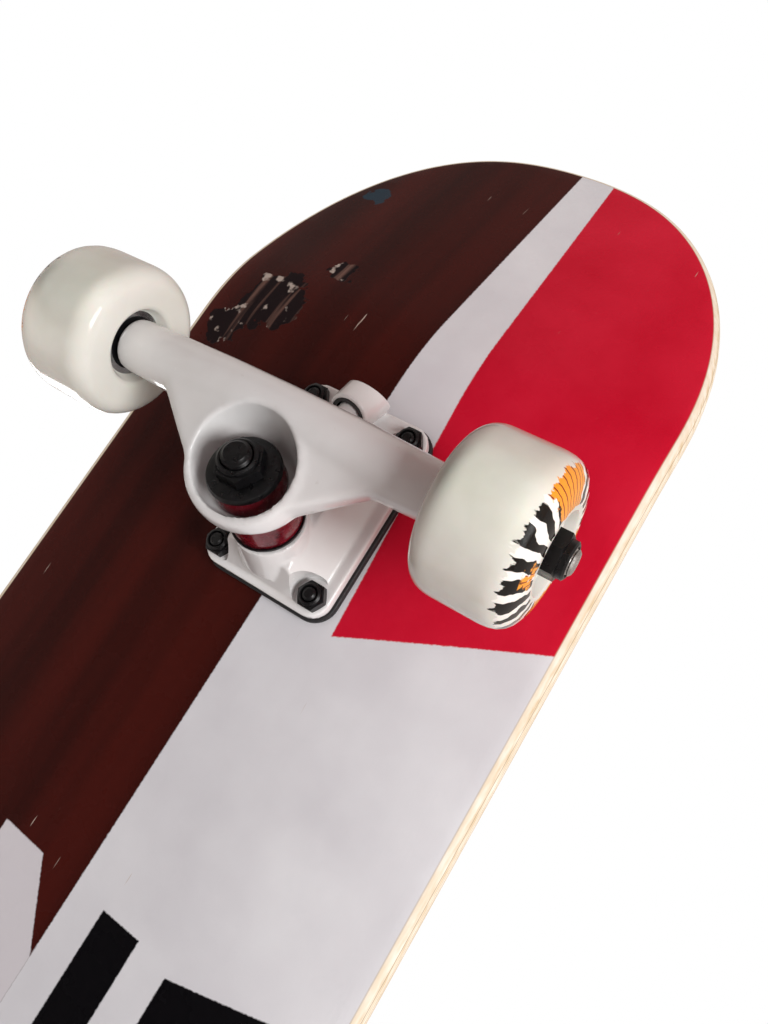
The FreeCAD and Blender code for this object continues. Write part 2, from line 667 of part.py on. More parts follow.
def make_inner_rings(end, place):
    """Make the inner rings of a truck's four bearings, which stay still with the axle."""
    rings = []
    for side, sign in SIDES.items():
        for number, spot in enumerate(bearing_spots(sign)):
            rings.append(race_ring(f"{end}_{side}_inner_{number}", "bearing_bore",
                                   "inner_shoulder", spot))
    sub_part(end + "_bearing_inner_rings", group(end + "_inner_rings", rings), place)


def opposite(height):
    """Give the formula of a height on the other side of the middle."""
    return "0 - " + height.translate(str.maketrans("+-", "-+"))


def make_wheel(name, sign, place):
    """Make a urethane wheel, open in the middle for its two bearings, rounder on its printed side."""
    half = "wheel_half_width"
    seat = "bearing_offset + bearing_width / 2"
    stop = "bearing_offset - bearing_width / 2"
    core = [("spacer_radius", stop), ("bearing_radius", stop), ("bearing_radius", seat),
            ("mouth_radius", half)]
    printed = [("printed_face_radius", half),
               ("printed_shoulder_radius", "printed_shoulder_width"),
               ("wheel_radius", "printed_tread_width")]
    plain = [("face_radius", half), ("shoulder_radius", "shoulder_half_width"),
             ("wheel_radius", "tread_half_width")]
    lower = [(radius, opposite(height)) for radius, height in reversed(core + plain)]
    sub_part(name + "_wheel", turned(name + "_tyre", core + printed + lower, side_place(sign)),
             place)


def make_wheel_bearings(name, sign, place):
    """Make the outer rings, shields, balls and cages of a wheel's two bearings."""
    outers = []
    shields = []
    balls = []
    cages = []
    face = "bearing_width / 2 - shield_inset"
    for number, spot in enumerate(bearing_spots(sign)):
        outers.append(race_ring(f"{name}_outer_{number}", "outer_shoulder", "bearing_radius", spot))
        for side, turn in enumerate((Rotation(), Rotation(Vector(1, 0, 0), 180))):
            shields.append(tube(f"{name}_shield_{number}{side}", "shield_inner",
                                "outer_shoulder", face + " - shield_thickness", face,
                                spot.multiply(Placement(Vector(), turn))))
        pockets = []
        for ball in range(BALLS):
            angle = 2 * math.pi * ball / BALLS
            outwards = Vector(math.cos(angle), math.sin(angle), 0)
            sphere = solid("Part::Sphere", f"{name}_ball_{number}{ball}", Radius="ball_radius")
            at = Placement(outwards * size("ball_pitch"), Rotation())
            sphere.Placement = spot.multiply(at)
            balls.append(sphere)
            pockets.append(cylinder(f"{name}_pocket_{number}{ball}", "ball_radius + 0.14",
                                    "ball_pitch * 2", Vector(), Rotation(UP, outwards)))
        ring = tube(f"{name}_cage_blank_{number}", "cage_inner", "cage_outer",
                    "0 - cage_width / 2", "cage_width / 2")
        cage = cut(f"{name}_cage_{number}", ring, group(f"{name}_pockets_{number}", pockets))
        cage.Placement = spot
        cages.append(cage)
    for label, shapes in (("bearing_outer_rings", outers), ("bearing_shields", shields),
                          ("bearing_balls", balls), ("bearing_cages", cages)):
        sub_part(f"{name}_{label}", group(f"{name}_{label}_group", shapes), place)


def make_truck(end):
    """Make a truck with its two wheels."""
    place = truck_frame(end)
    on_kingpin = place.multiply(kingpin_frame())
    make_riser(end, place)
    make_baseplate(end, place)
    make_pivot_cup(end, place)
    make_kingpin(end, on_kingpin)
    make_bushings(end, on_kingpin)
    make_kingpin_nut(end, on_kingpin)
    make_bolts(end, place)
    make_hanger(end, place)
    on_axle = axle_frame(end)
    make_axle(end, on_axle)
    make_inner_rings(end, on_axle)
    for side, sign in SIDES.items():
        make_wheel(f"{end}_{side}", sign, on_axle)
        make_wheel_bearings(f"{end}_{side}", sign, on_axle)


def check_and_export():
    """Stop if anything failed, then write each sub-part's shape."""
    doc.recompute()
    failed = [item.Name for item in doc.Objects
              if "Invalid" in item.State or "Error" in item.State]
    if failed:
        raise SystemExit("failed: " + ", ".join(failed))
    for item in parts:
        if item.Shape.isNull() or not item.Shape.isValid():
            raise SystemExit("bad shape: " + item.Label)
    os.makedirs("parts", exist_ok=True)
    for item in parts:
        item.Shape.exportStep(f"parts/{item.Label}.step")
        box = item.Shape.BoundBox
        print(f"{item.Label}: {len(item.Shape.Solids)} solids, {item.Shape.Volume:.1f} mm3,",
              f"z {box.ZMin:.2f} to {box.ZMax:.2f}")


make_deck()
for truck_end in ENDS:
    make_truck(truck_end)
check_and_export()
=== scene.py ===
# %% [markdown]
# # Skateboard
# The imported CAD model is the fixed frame: it gives every size and place. This script gives the
# board its looks, piece by piece, modelled with Blender's own edit-mode operators and modifiers.

# %% Load the frame
import bpy
import math
from mathutils import Matrix, Vector


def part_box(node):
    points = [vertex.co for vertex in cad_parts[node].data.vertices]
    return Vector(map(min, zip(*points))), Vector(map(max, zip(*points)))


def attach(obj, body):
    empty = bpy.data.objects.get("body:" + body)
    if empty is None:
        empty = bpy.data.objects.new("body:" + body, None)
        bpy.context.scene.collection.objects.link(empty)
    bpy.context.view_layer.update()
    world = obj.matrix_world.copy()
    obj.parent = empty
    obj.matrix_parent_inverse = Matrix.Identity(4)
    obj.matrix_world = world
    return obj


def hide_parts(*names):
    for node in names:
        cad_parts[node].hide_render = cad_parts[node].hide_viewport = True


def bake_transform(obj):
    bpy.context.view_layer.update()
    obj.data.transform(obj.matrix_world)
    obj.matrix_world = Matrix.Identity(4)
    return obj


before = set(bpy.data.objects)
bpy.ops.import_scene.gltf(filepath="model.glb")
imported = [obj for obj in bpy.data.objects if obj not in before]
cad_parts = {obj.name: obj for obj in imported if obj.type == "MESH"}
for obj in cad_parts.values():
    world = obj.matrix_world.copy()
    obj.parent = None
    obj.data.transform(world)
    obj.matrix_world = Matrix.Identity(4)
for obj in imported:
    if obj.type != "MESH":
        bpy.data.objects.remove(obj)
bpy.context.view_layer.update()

# %% [markdown]
# Lengths below are written in millimetres, as on a drawing, and turned to metres by `MM`.
# A truck is drawn in its own frame: its origin is the middle of the four bolts on the deck's
# lower face. The rear truck is the front one turned half a turn.

# %% Units and places
MM = 0.001
riser_low, riser_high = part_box("front_riser_pad")
axle_low, axle_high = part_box("front_axle")
deck_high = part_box("deck")[1]
TRUCK_X = (riser_low.x + riser_high.x) / 2 / MM
UNDERSIDE = riser_high.z / MM
AXLE_X = (axle_low.x + axle_high.x) / 2 / MM - TRUCK_X
AXLE_DROP = UNDERSIDE - (axle_low.z + axle_high.z) / 2 / MM
HALF_LENGTH = deck_high.x / MM
HALF_WIDTH = deck_high.y / MM
ENDS = {"front": 1, "rear": -1}
SIDES = {"left": -1, "right": 1}
BOLT_X, BOLT_Y = 63.5 / 2, 41.3 / 2
print("truck centre", round(TRUCK_X, 2), "axle", round(AXLE_X, 2), round(AXLE_DROP, 2))


def truck_frame(end):
    """Give the matrix from a truck's frame, in millimetres, to the scene, in metres."""
    place = Matrix.Translation((ENDS[end] * TRUCK_X * MM, 0, UNDERSIDE * MM))
    turn = Matrix.Rotation(0 if end == "front" else math.pi, 4, "Z")
    return place @ turn @ Matrix.Scale(MM, 4)


KINGPIN_TILT = math.radians(11)
RING_CENTRE = Vector((-15, 0, -43))
PIVOT = Vector((30, 0, -19))
KINGPIN = Matrix.Translation(RING_CENTRE) @ Matrix.Rotation(-KINGPIN_TILT, 4, "Y")
STEERING = (PIVOT - RING_CENTRE).normalized()


def facing(at, axis):
    """Give the matrix that puts +Z along an axis at a place."""
    return Matrix.Translation(at) @ Vector(axis).to_track_quat("Z", "Y").to_matrix().to_4x4()


PIVOT_FRAME = facing(PIVOT, STEERING)
AXLE_FRAME = facing((AXLE_X, 0, -AXLE_DROP), (0, 1, 0))


# %% [markdown]
# A few helpers do what a hand does at the keyboard: add a primitive, go into edit mode, work on
# it, and come back. Each piece is drawn in millimetres near the origin, then its place is
# applied to its mesh, so that the finished object sits at the origin.

# %% Modelling helpers
def begin():
    """Deselect everything, so that an operator acts only on what is added next."""
    if bpy.context.object and bpy.context.object.mode != "OBJECT":
        bpy.ops.object.mode_set(mode="OBJECT")
    bpy.ops.object.select_all(action="DESELECT")


def only(piece):
    """Select one piece and make it active."""
    begin()
    piece.select_set(True)
    bpy.context.view_layer.objects.active = piece


def edit(piece, mode="VERT"):
    """Open a piece in edit mode with all of it selected."""
    only(piece)
    bpy.ops.object.mode_set(mode="EDIT")
    bpy.ops.mesh.select_mode(type=mode)
    bpy.ops.mesh.select_all(action="SELECT")


def done():
    """Leave edit mode."""
    bpy.ops.object.mode_set(mode="OBJECT")


def modify(piece, kind, **settings):
    """Add a modifier and apply it."""
    only(piece)
    modifier = piece.modifiers.new(kind.title(), kind)
    for name, value in settings.items():
        setattr(modifier, name, value)
    bpy.ops.object.modifier_apply(modifier=modifier.name)


def smooth(piece, degrees=32):
    """Shade a piece smooth, but keep its sharp edges."""
    only(piece)
    bpy.ops.object.shade_smooth_by_angle(angle=math.radians(degrees))


def lathe(name, outline, segments=96, closed=False, matrix=Matrix()):
    """Draw a round piece about Z: a circle is extruded and scaled from corner to corner."""
    begin()
    radius, height = outline[0]
    bpy.ops.mesh.primitive_circle_add(vertices=segments, radius=radius, location=(0, 0, height))
    piece = bpy.context.object
    piece.name = name
    bpy.ops.object.transform_apply(location=True)
    edit(piece)
    for following, level in outline[1:]:
        bpy.ops.mesh.extrude_region_move(TRANSFORM_OT_translate={"value": (0, 0, level - height)})
        factor = following / radius
        bpy.ops.transform.resize(value=(factor, factor, 1), center_override=(0, 0, level))
        radius, height = following, level
    bpy.ops.mesh.select_all(action="DESELECT")
    bpy.ops.mesh.select_non_manifold()
    if closed:
        bpy.ops.mesh.bridge_edge_loops()
    else:
        bpy.ops.mesh.fill_holes(sides=0)
    bpy.ops.mesh.select_all(action="SELECT")
    bpy.ops.mesh.normals_make_consistent(inside=False)
    done()
    piece.data.transform(matrix)
    return piece


def block(name, centre, size, shape=None, matrix=Matrix()):
    """Add a box of a size in millimetres, shaped by a function of each corner if given."""
    begin()
    bpy.ops.mesh.primitive_cube_add(size=1, location=centre, scale=size)
    piece = bpy.context.object
    piece.name = name
    bpy.ops.object.transform_apply()
    if shape:
        for vertex in piece.data.vertices:
            vertex.co = shape(vertex.co)
    piece.data.transform(matrix)
    return piece


def hexagon(name, across_flats, low, high, chamfer=0.5, matrix=Matrix()):
    """Add a hexagon with its corners turned down at both ends, as on a nut."""
    corner = across_flats / math.sqrt(3)
    piece = lathe(name, [(corner, low), (corner, high)], segments=6)
    cone = [(across_flats / 2 - 0.1, low), (corner + 0.02, low + chamfer),
            (corner + 0.02, high - chamfer), (across_flats / 2 - 0.1, high)]
    trim(piece, lathe("chamfer", cone, segments=48), "INTERSECT")
    piece.data.transform(matrix)
    return piece


def trim(piece, tool, operation="DIFFERENCE"):
    """Cut, fuse or keep what is common with a tool, then throw the tool away."""
    modify(piece, "BOOLEAN", object=tool, operation=operation, solver="EXACT")
    bpy.data.objects.remove(tool)


def joined(name, pieces):
    """Join pieces into one object."""
    only(pieces[0])
    for piece in pieces[1:]:
        piece.select_set(True)
    if len(pieces) > 1:
        bpy.ops.object.join()
    pieces[0].name = name
    return pieces[0]


def melt(piece, voxel, rounds):
    """Merge crossing lumps into one skin and soften it, as sand casting rounds its corners."""
    modify(piece, "REMESH", mode="VOXEL", voxel_size=voxel)
    modify(piece, "SMOOTH", factor=0.5, iterations=rounds)


def copy(piece, name, matrix):
    """Copy a piece with a mesh of its own."""
    twin = bpy.data.objects.new(name, piece.data.copy())
    bpy.context.collection.objects.link(twin)
    twin.data.transform(matrix)
    return twin


def finish_piece(piece, body, material, nodes=(), degrees=32):
    """Give a piece its shading, material, body and the CAD nodes it stands for."""
    smooth(piece, degrees)
    piece.data.materials.clear()
    piece.data.materials.append(material)
    if body:
        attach(piece, body)
    if nodes:
        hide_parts(*nodes)
    return piece


def per_truck(piece, label, body, material, node=None, degrees=32):
    """Put a piece drawn in the truck's frame on both trucks."""
    for end in ENDS:
        twin = copy(piece, f"{end}_{label}_skin", truck_frame(end))
        finish_piece(twin, body.format(end=end), material, [f"{end}_{node or label}"],
                     degrees)
    bpy.data.objects.remove(piece)


# %% [markdown]
# Materials are small node trees. `shader` starts one from a base colour, roughness and the
# values that make enamel, steel or urethane what it is. `add` puts in one node, sets its
# settings and links its inputs. Colours are the hex values that a paint chart gives.

# %% Material helpers
def hex_colour(text):
    """Turn an sRGB hex colour into linear red, green, blue and alpha."""
    values = [int(text[i:i + 2], 16) / 255 for i in (1, 3, 5)]
    linear = [v / 12.92 if v <= 0.04045 else ((v + 0.055) / 1.055) ** 2.4 for v in values]
    return (*linear, 1)


def add(tree, kind, settings=(), **inputs):
    """Add a node, set its settings, and set or link its inputs by name or number."""
    node = tree.nodes.new("ShaderNode" + kind)
    for name, value in dict(settings).items():
        setattr(node, name, value)
    for name, value in inputs.items():
        socket = node.inputs[int(name[1:])] if name[1:].isdigit() else node.inputs[
            name.replace("_", " ")]
        if isinstance(value, bpy.types.NodeSocket):
            tree.links.new(value, socket)
        else:
            socket.default_value = value
    return node


def shader(name, colour, roughness, **values):
    """Start a material with one Principled shader."""
    material = bpy.data.materials.new(name)
    material.use_nodes = True
    tree = material.node_tree
    principled = tree.nodes["Principled BSDF"]
    principled.inputs["Base Color"].default_value = hex_colour(colour)
    principled.inputs["Roughness"].default_value = roughness
    for socket, value in values.items():
        principled.inputs[socket.replace("_", " ")].default_value = value
    return material, tree, principled


def place(tree):
    """Give the object coordinates, in metres."""
    return add(tree, "TexCoord").outputs["Object"]


def noise(tree, size_mm, detail=3, where=None, **more):
    """Add noise whose lumps are about a size in millimetres, and give its value."""
    node = add(tree, "TexNoise", Vector=where or place(tree), Scale=1 / (size_mm * MM),
               Detail=detail, **more)
    return node.outputs["Fac"]


def span(tree, value, low, high, to_low=0.0, to_high=1.0):
    """Stretch a value from one range to another, held at both ends."""
    node = add(tree, "MapRange", Value=value, From_Min=low, From_Max=high, To_Min=to_low,
               To_Max=to_high)
    return node.outputs["Result"]


def blend(tree, factor, first, second, kind="MIX"):
    """Mix two colours by a factor."""
    node = add(tree, "Mix", {"data_type": "RGBA", "blend_type": kind}, _0=factor, _6=first,
               _7=second)
    return node.outputs[2]


def maths(tree, operation, first, second=0.0):
    """Add a Math node and give its value."""
    return add(tree, "Math", {"operation": operation}, _0=first, _1=second).outputs[0]


def bump(tree, principled, height, depth_mm, strength=1.0):
    """Raise the surface by a height value, in millimetres."""
    node = add(tree, "Bump", Height=height, Distance=depth_mm * MM, Strength=strength)
    tree.links.new(node.outputs["Normal"], principled.inputs["Normal"])


def feed(tree, value, principled, socket):
    """Link a value or colour to the shader."""
    tree.links.new(value, principled.inputs[socket])


# %% [markdown]
# The castings are aluminium with gloss white enamel, baked on: a thick, slightly wavy film with
# a clear reflection. The sand texture under it shows as soft orange peel. Fine grey scuffs
# follow use.

# %% Enamel
enamel, tree, skin = shader("white_enamel", "#E4E4E3", 0.16, Coat_Weight=0.6,
                            Coat_Roughness=0.05)
scuffs = span(tree, noise(tree, 4, 6), 0.68, 0.8)
tone = blend(tree, span(tree, noise(tree, 30), 0.35, 0.65), hex_colour("#E7E7E7"),
             hex_colour("#DEDCDB"))
feed(tree, blend(tree, scuffs, tone, hex_colour("#D2CFCC")), skin, "Base Color")
feed(tree, span(tree, noise(tree, 3, 4), 0.3, 0.8, 0.10, 0.30), skin, "Roughness")
bump(tree, skin, noise(tree, 4.5, 2), 0.10, 0.35)

# %% [markdown]
# Steel comes in three finishes: black oxide, which is a soft satin with worn brighter spots,
# bright zinc plate, and the ground steel of bearing rings.

# %% Steels
black_oxide, tree, skin = shader("black_oxide_steel", "#101013", 0.3, Metallic=0.3)
worn = span(tree, noise(tree, 1.6, 5), 0.58, 0.75)
feed(tree, blend(tree, worn, hex_colour("#0B0B0D"), hex_colour("#1E1E22")), skin, "Base Color")
feed(tree, span(tree, noise(tree, 2.5, 3), 0.3, 0.7, 0.24, 0.42), skin, "Roughness")

zinc, tree, skin = shader("zinc_plated_steel", "#C9C8C6", 0.25, Metallic=1.0)
tone = span(tree, noise(tree, 2.2, 4), 0.35, 0.7)
feed(tree, blend(tree, tone, hex_colour("#D6D5D2"), hex_colour("#9D9B98")), skin, "Base Color")
feed(tree, span(tree, noise(tree, 0.8, 3), 0.3, 0.7, 0.18, 0.36), skin, "Roughness")

ground_steel, tree, skin = shader("ground_bearing_steel", "#B9BABD", 0.2, Metallic=1.0)
feed(tree, span(tree, noise(tree, 0.5, 3), 0.3, 0.7, 0.14, 0.28), skin, "Roughness")

shield_steel, tree, skin = shader("black_shield_steel", "#1A1A1D", 0.4, Metallic=0.6)
feed(tree, span(tree, noise(tree, 1.5, 3), 0.3, 0.7, 0.32, 0.5), skin, "Roughness")

# %% [markdown]
# Bushings and wheels are cast urethane. The bushings are clear and dyed dark red, so light goes
# a little way in. The wheels are cream white, denser, with a soft glow under a glossy skin.

# %% Urethanes and rubber
cherry, tree, skin = shader("cherry_urethane", "#5A0713", 0.22, Subsurface_Weight=0.35,
                            Subsurface_Scale=0.004, Coat_Weight=0.4, Coat_Roughness=0.12)
skin.inputs["Subsurface Radius"].default_value = (1.0, 0.12, 0.1)
depth = span(tree, noise(tree, 6, 3), 0.3, 0.7)
feed(tree, blend(tree, depth, hex_colour("#4A0410"), hex_colour("#7A1020")), skin, "Base Color")
feed(tree, span(tree, noise(tree, 2, 3), 0.3, 0.7, 0.16, 0.32), skin, "Roughness")

riser_rubber, tree, skin = shader("moulded_black_rubber", "#18181A", 0.6)
feed(tree, span(tree, noise(tree, 1.2, 3), 0.3, 0.7, 0.5, 0.72), skin, "Roughness")
bump(tree, skin, noise(tree, 0.9, 2), 0.05, 0.5)

cup_plastic, tree, skin = shader("black_acetal_cup", "#1B1B1C", 0.45)
feed(tree, span(tree, noise(tree, 2, 3), 0.3, 0.7, 0.38, 0.52), skin, "Roughness")

nylon, tree, skin = shader("natural_nylon", "#D8CDA8", 0.45, Subsurface_Weight=0.1)
feed(tree, span(tree, noise(tree, 1.5, 3), 0.3, 0.7, 0.4, 0.55), skin, "Roughness")

# %% [markdown]
# The deck is seven veneers of maple, pressed over a mould. Its section is a slab with round
# edges, and it is easiest to draw flat: cut the outline, round its edges, slice it finely, and
# only then press it into its concave and kicks. The flat coordinates become the UV map, so the
# print follows the bend just as a heat-transferred graphic does.

# %% Deck shape
THICKNESS = 10.5
FLAT_HALF, CONCAVE = 30.0, 6.0
KICK_START, KICK_RADIUS, KICK_ANGLE = 251.6, 107.0, math.radians(19.4)
NOSE, NOSE_POWER = 125.0, 2.22
KICK_BEND = KICK_RADIUS * KICK_ANGLE
KICK_END_X = KICK_START + KICK_RADIUS * math.sin(KICK_ANGLE)
EDGE_ROUNDING = 3.8
BOLT_HOLE, BOLT_HEAD, HEAD_DEPTH = 2.7, 4.9, 3.2
STRIPS_ACROSS, STRIPS_PER_KICK = 26, 60
CONCAVE_RADIUS = ((HALF_WIDTH + 1 - FLAT_HALF) ** 2 + CONCAVE ** 2) / (2 * CONCAVE)


def arc_length(plan_x):
    """Give the length along the bent underside up to a distance in plan."""
    if plan_x <= KICK_START:
        return plan_x
    if plan_x <= KICK_END_X:
        return KICK_START + KICK_RADIUS * math.asin((plan_x - KICK_START) / KICK_RADIUS)
    return KICK_START + KICK_BEND + (plan_x - KICK_END_X) / math.cos(KICK_ANGLE)


def lift(y):
    """Give the concave's rise at a distance from the middle."""
    over = max(0.0, abs(y) - FLAT_HALF)
    return CONCAVE_RADIUS - math.sqrt(CONCAVE_RADIUS ** 2 - over ** 2)


def press(flat):
    """Bend a point of the flat slab into the concave and the kicks."""
    sign = 1 if flat.x >= 0 else -1
    along, level = abs(flat.x), flat.z + lift(flat.y)
    beyond = along - KICK_START
    angle = min(max(beyond / KICK_RADIUS, 0), KICK_ANGLE)
    x = min(along, KICK_START) + KICK_RADIUS * math.sin(angle) - level * math.sin(angle)
    z = KICK_RADIUS * (1 - math.cos(angle)) + level * math.cos(angle)
    rest = max(0.0, beyond - KICK_BEND)
    x += rest * math.cos(angle)
    z += rest * math.sin(angle)
    return Vector((sign * x, flat.y, z + UNDERSIDE))


def plan_outline(inset=0.0, steps=40):
    """Give the outline of the flat slab: straight sides and a superellipse at each end."""
    straight = HALF_LENGTH - NOSE
    points = []
    for step in range(-steps, steps + 1):
        angle = math.pi / 2 * step / steps
        reach = straight + NOSE * math.cos(angle) ** (2 / NOSE_POWER)
        side = math.copysign(abs(math.sin(angle)) ** (2 / NOSE_POWER), angle)
        points.append((arc_length(reach) - inset, (HALF_WIDTH - 0.25 - inset) * side))
    return points + [(-x, -y) for x, y in points]


def slab(name, low, high, rounding, inset=0.0):
    """Cut a flat slab to the outline and round its edges."""
    outline = plan_outline(inset)
    begin()
    bpy.ops.mesh.primitive_circle_add(vertices=len(outline), radius=1, fill_type="NGON")
    piece = bpy.context.object
    piece.name = name
    for vertex, (x, y) in zip(piece.data.vertices, outline):
        vertex.co = (x, y, low)
    edit(piece)
    bpy.ops.mesh.extrude_region_move(TRANSFORM_OT_translate={"value": (0, 0, high - low)})
    bpy.ops.mesh.select_all(action="SELECT")
    bpy.ops.mesh.normals_make_consistent(inside=False)
    done()
    if rounding:
        modify(piece, "BEVEL", width=rounding, segments=4, limit_method="ANGLE",
               angle_limit=math.radians(50))
    return piece


def slice_up(piece):
    """Bisect a slab into strips fine enough to bend smoothly."""
    kick = arc_length(HALF_LENGTH) - KICK_START
    first = KICK_START - 8
    cuts = [((0, -HALF_WIDTH + 2 * HALF_WIDTH * step / STRIPS_ACROSS, 0), (0, 1, 0))
            for step in range(1, STRIPS_ACROSS)]
    for sign in (-1, 1):
        cuts += [((sign * (first + kick * step / STRIPS_PER_KICK), 0, 0), (1, 0, 0))
                 for step in range(STRIPS_PER_KICK)]
    for point, normal in cuts:
        edit(piece)
        bpy.ops.mesh.bisect(plane_co=point, plane_no=normal)
        done()


def bolt_places():
    """Give the four bolt places of a truck in its own frame."""
    return [(sx * BOLT_X, sy * BOLT_Y) for sx in (-1, 1) for sy in (-1, 1)]


def drill(piece, radius, low, high, sink=None):
    """Drill the eight bolt holes, with a countersink's radius at the top if given."""
    tools = []
    for end in ENDS.values():
        for x, y in bolt_places():
            outline = [(radius, low), (radius, high)]
            if sink:
                outline = [(radius, low), (radius, high - HEAD_DEPTH), (sink, high),
                           (sink, high + 2)]
            at = Matrix.Translation((end * TRUCK_X + x, y, 0))
            tools.append(lathe("drill", outline, segments=40, matrix=at))
    trim(piece, joined("drills", tools))


def flat_uv(piece):
    """Keep each point's flat place, in metres, as UV maps: the print's, and the depth."""
    for name, pick in (("print", (0, 1)), ("depth", (2, 0))):
        layer = piece.data.uv_layers.new(name=name)
        for loop in piece.data.loops:
            flat = piece.data.vertices[loop.vertex_index].co
            layer.data[loop.index].uv = (flat[pick[0]] * MM, flat[pick[1]] * MM)


def pressed(piece):
    """Press a sliced slab and bring it to metres."""
    flat_uv(piece)
    for vertex in piece.data.vertices:
        vertex.co = press(vertex.co) * MM
    return piece


deck = slab("deck_plies", 0, THICKNESS, EDGE_ROUNDING)
drill(deck, BOLT_HOLE, -2, THICKNESS + 0.01, BOLT_HEAD)
slice_up(deck)
pressed(deck)
print("deck plies:", len(deck.data.polygons), "faces")

# %% [markdown]
# The print has a dark brown half and a white half that meet down the middle, a red field
# that fills the nose side, and a few plain dark blocks. Each edge is a straight line in the
# flat coordinates, so a colour starts where a sum of u and v passes zero. The brown ink is thin
# over open-pored veneer and reads almost black in places. The lacquer is worn to a low gloss. It
# has chipped where the board was used: dark wood shows, with paler torn fibres. The bare edge
# shows the veneers as thin lines.

# %% Deck material
maple, tree, skin = shader("lacquered_maple", "#3E120E", 0.3, Specular_IOR_Level=0.06)
flat = add(tree, "UVMap", {"uv_map": "print"}).outputs["UV"]
split = add(tree, "SeparateXYZ", Vector=flat)
along, across = split.outputs["X"], split.outputs["Y"]
wobble = maths(tree, "MULTIPLY", maths(tree, "SUBTRACT", noise(tree, 1.2, 4, flat), 0.5),
               0.7 * MM)


def side_of(a, b, c, soft=0.25):
    """Give 1 where a*along + b*across + c, in millimetres, is above zero, and 0 below."""
    total = maths(tree, "ADD", maths(tree, "MULTIPLY", along, a),
                  maths(tree, "MULTIPLY", across, b))
    total = maths(tree, "ADD", maths(tree, "ADD", total, c * MM), wobble)
    return span(tree, total, -soft * MM, soft * MM)


def both(*masks):
    """Give where all masks hold."""
    result = masks[0]
    for mask in masks[1:]:
        result = maths(tree, "MULTIPLY", result, mask)
    return result


def past(first, second):
    """Give the mask of what lies left of a line from one flat point to another."""
    (x1, y1), (x2, y2) = first, second
    length = math.hypot(x2 - x1, y2 - y1)
    a, b = -(y2 - y1) / length, (x2 - x1) / length
    return side_of(a, b, -(a * x1 + b * y1))


def spot(x, y, radius, ragged=0.0, size=6):
    """Give a round mask, with a ragged edge if asked."""
    dx = maths(tree, "SUBTRACT", along, x * MM)
    dy = maths(tree, "SUBTRACT", across, y * MM)
    distance = maths(tree, "SQRT", maths(tree, "ADD", maths(tree, "MULTIPLY", dx, dx),
                                         maths(tree, "MULTIPLY", dy, dy)))
    shake = maths(tree, "MULTIPLY", maths(tree, "SUBTRACT", noise(tree, size, 5, flat), 0.5),
                  ragged * 2 * MM)
    reach = maths(tree, "ADD", distance, maths(tree, "ADD", shake, wobble))
    return span(tree, reach, (radius + 0.25) * MM, (radius - 0.25) * MM)


def lay(colour, mask, ink):
    """Print an ink over a colour where a mask holds."""
    return blend(tree, mask, colour, hex_colour(ink))


grain_at = add(tree, "Mapping", Vector=flat, Scale=(0.05, 1, 1)).outputs["Vector"]
grain = noise(tree, 1.0, 6, grain_at)
brown = blend(tree, span(tree, noise(tree, 26, 4, grain_at), 0.35, 0.65), hex_colour("#2C0E0B"),
              hex_colour("#43140F"))
colour = brown
white_half = past((0, 0), (200, 0))
white = blend(tree, span(tree, noise(tree, 40, 3, flat), 0.3, 0.7), hex_colour("#CFCED3"),
              hex_colour("#DCDCE0"))
colour = blend(tree, white_half, colour, white)
stripe_edge = past((160.4, 30.5), (406.5, 15.7))
red_end = maths(tree, "SUBTRACT", 1.0, past((160.4, 30.5), (193.3, 100.2)))
red = blend(tree, span(tree, noise(tree, 30, 3, flat), 0.3, 0.7), hex_colour("#BF0E2A"),
            hex_colour("#CA1A34"))
colour = blend(tree, both(stripe_edge, red_end), colour, red)
tail_stripe = past((-406.5, -15.7), (-160.4, -30.5))
tail_red = both(maths(tree, "SUBTRACT", 1.0, tail_stripe),
                past((-193.3, -100.2), (-160.4, -30.5)))
colour = blend(tree, tail_red, colour, red)
bar = both(side_of(0, 1, -13.3), side_of(0, -1, 29.4), side_of(-1, 0, 48), side_of(1, 0, 60))
colour = lay(colour, bar, "#0B0A0D")
wide_bar = both(side_of(0, 1, -43), side_of(0, -1, 90), side_of(-1, 0.25, 34), side_of(1, 0, 60))
colour = lay(colour, wide_bar, "#0B0A0D")
block_mask = both(past((49.6, -35.2), (49, -16.8)), past((49, -16.8), (7.2, 10.1)),
                  past((-38, 2), (4, -25)), side_of(1, 0, 38), side_of(0, 1, 36))
colour = lay(colour, both(block_mask, maths(tree, "SUBTRACT", 1.0, white_half)), "#CFCBD0")
low_block = both(side_of(-1, 0, -64), side_of(1, 0, 118), side_of(0, 1, -40), side_of(0, -1, 72))
colour = lay(colour, low_block, "#0B0A0D")
# Pale scratches in the lacquer, which also serve as a painted sheen: paler streaks that stand in
# for the gloss catching the light.
scratch_and_sheen_at = add(tree, "Mapping", Vector=flat, Rotation=(0, 0, 0.7), Scale=(0.06, 1, 1))
scratches_and_sheen = span(tree, noise(tree, 1.6, 2, scratch_and_sheen_at.outputs["Vector"]), 0.735, 0.76)
colour = lay(colour, both(scratches_and_sheen, span(tree, noise(tree, 45, 2, flat), 0.5, 0.6)), "#B9A79B")
chipped = spot(266, -70, 15, 11, 9)
chipped = maths(tree, "MAXIMUM", chipped, spot(248, -84, 9, 7, 6))
chipped = maths(tree, "MAXIMUM", chipped, spot(292, -54, 6, 6, 5))
torn = span(tree, noise(tree, 5, 6, grain_at), 0.52, 0.66)
bare = blend(tree, torn, hex_colour("#1B1214"), hex_colour("#6B5048"))
bare = blend(tree, span(tree, noise(tree, 7, 6, flat), 0.60, 0.66), bare, hex_colour("#A79A92"))
colour = blend(tree, chipped, colour, bare)
colour = blend(tree, maths(tree, "MULTIPLY", spot(347.8, -73.2, 6, 5, 6), 0.75), colour,
               hex_colour("#1C3A48"))
flecks = span(tree, noise(tree, 2.2, 3, flat), 0.775, 0.79)
colour = lay(colour, both(flecks, span(tree, noise(tree, 30, 2, flat), 0.5, 0.55)), "#D9D2CC")
depth = add(tree, "SeparateXYZ", Vector=add(tree, "UVMap", {"uv_map": "depth"}).outputs["UV"])
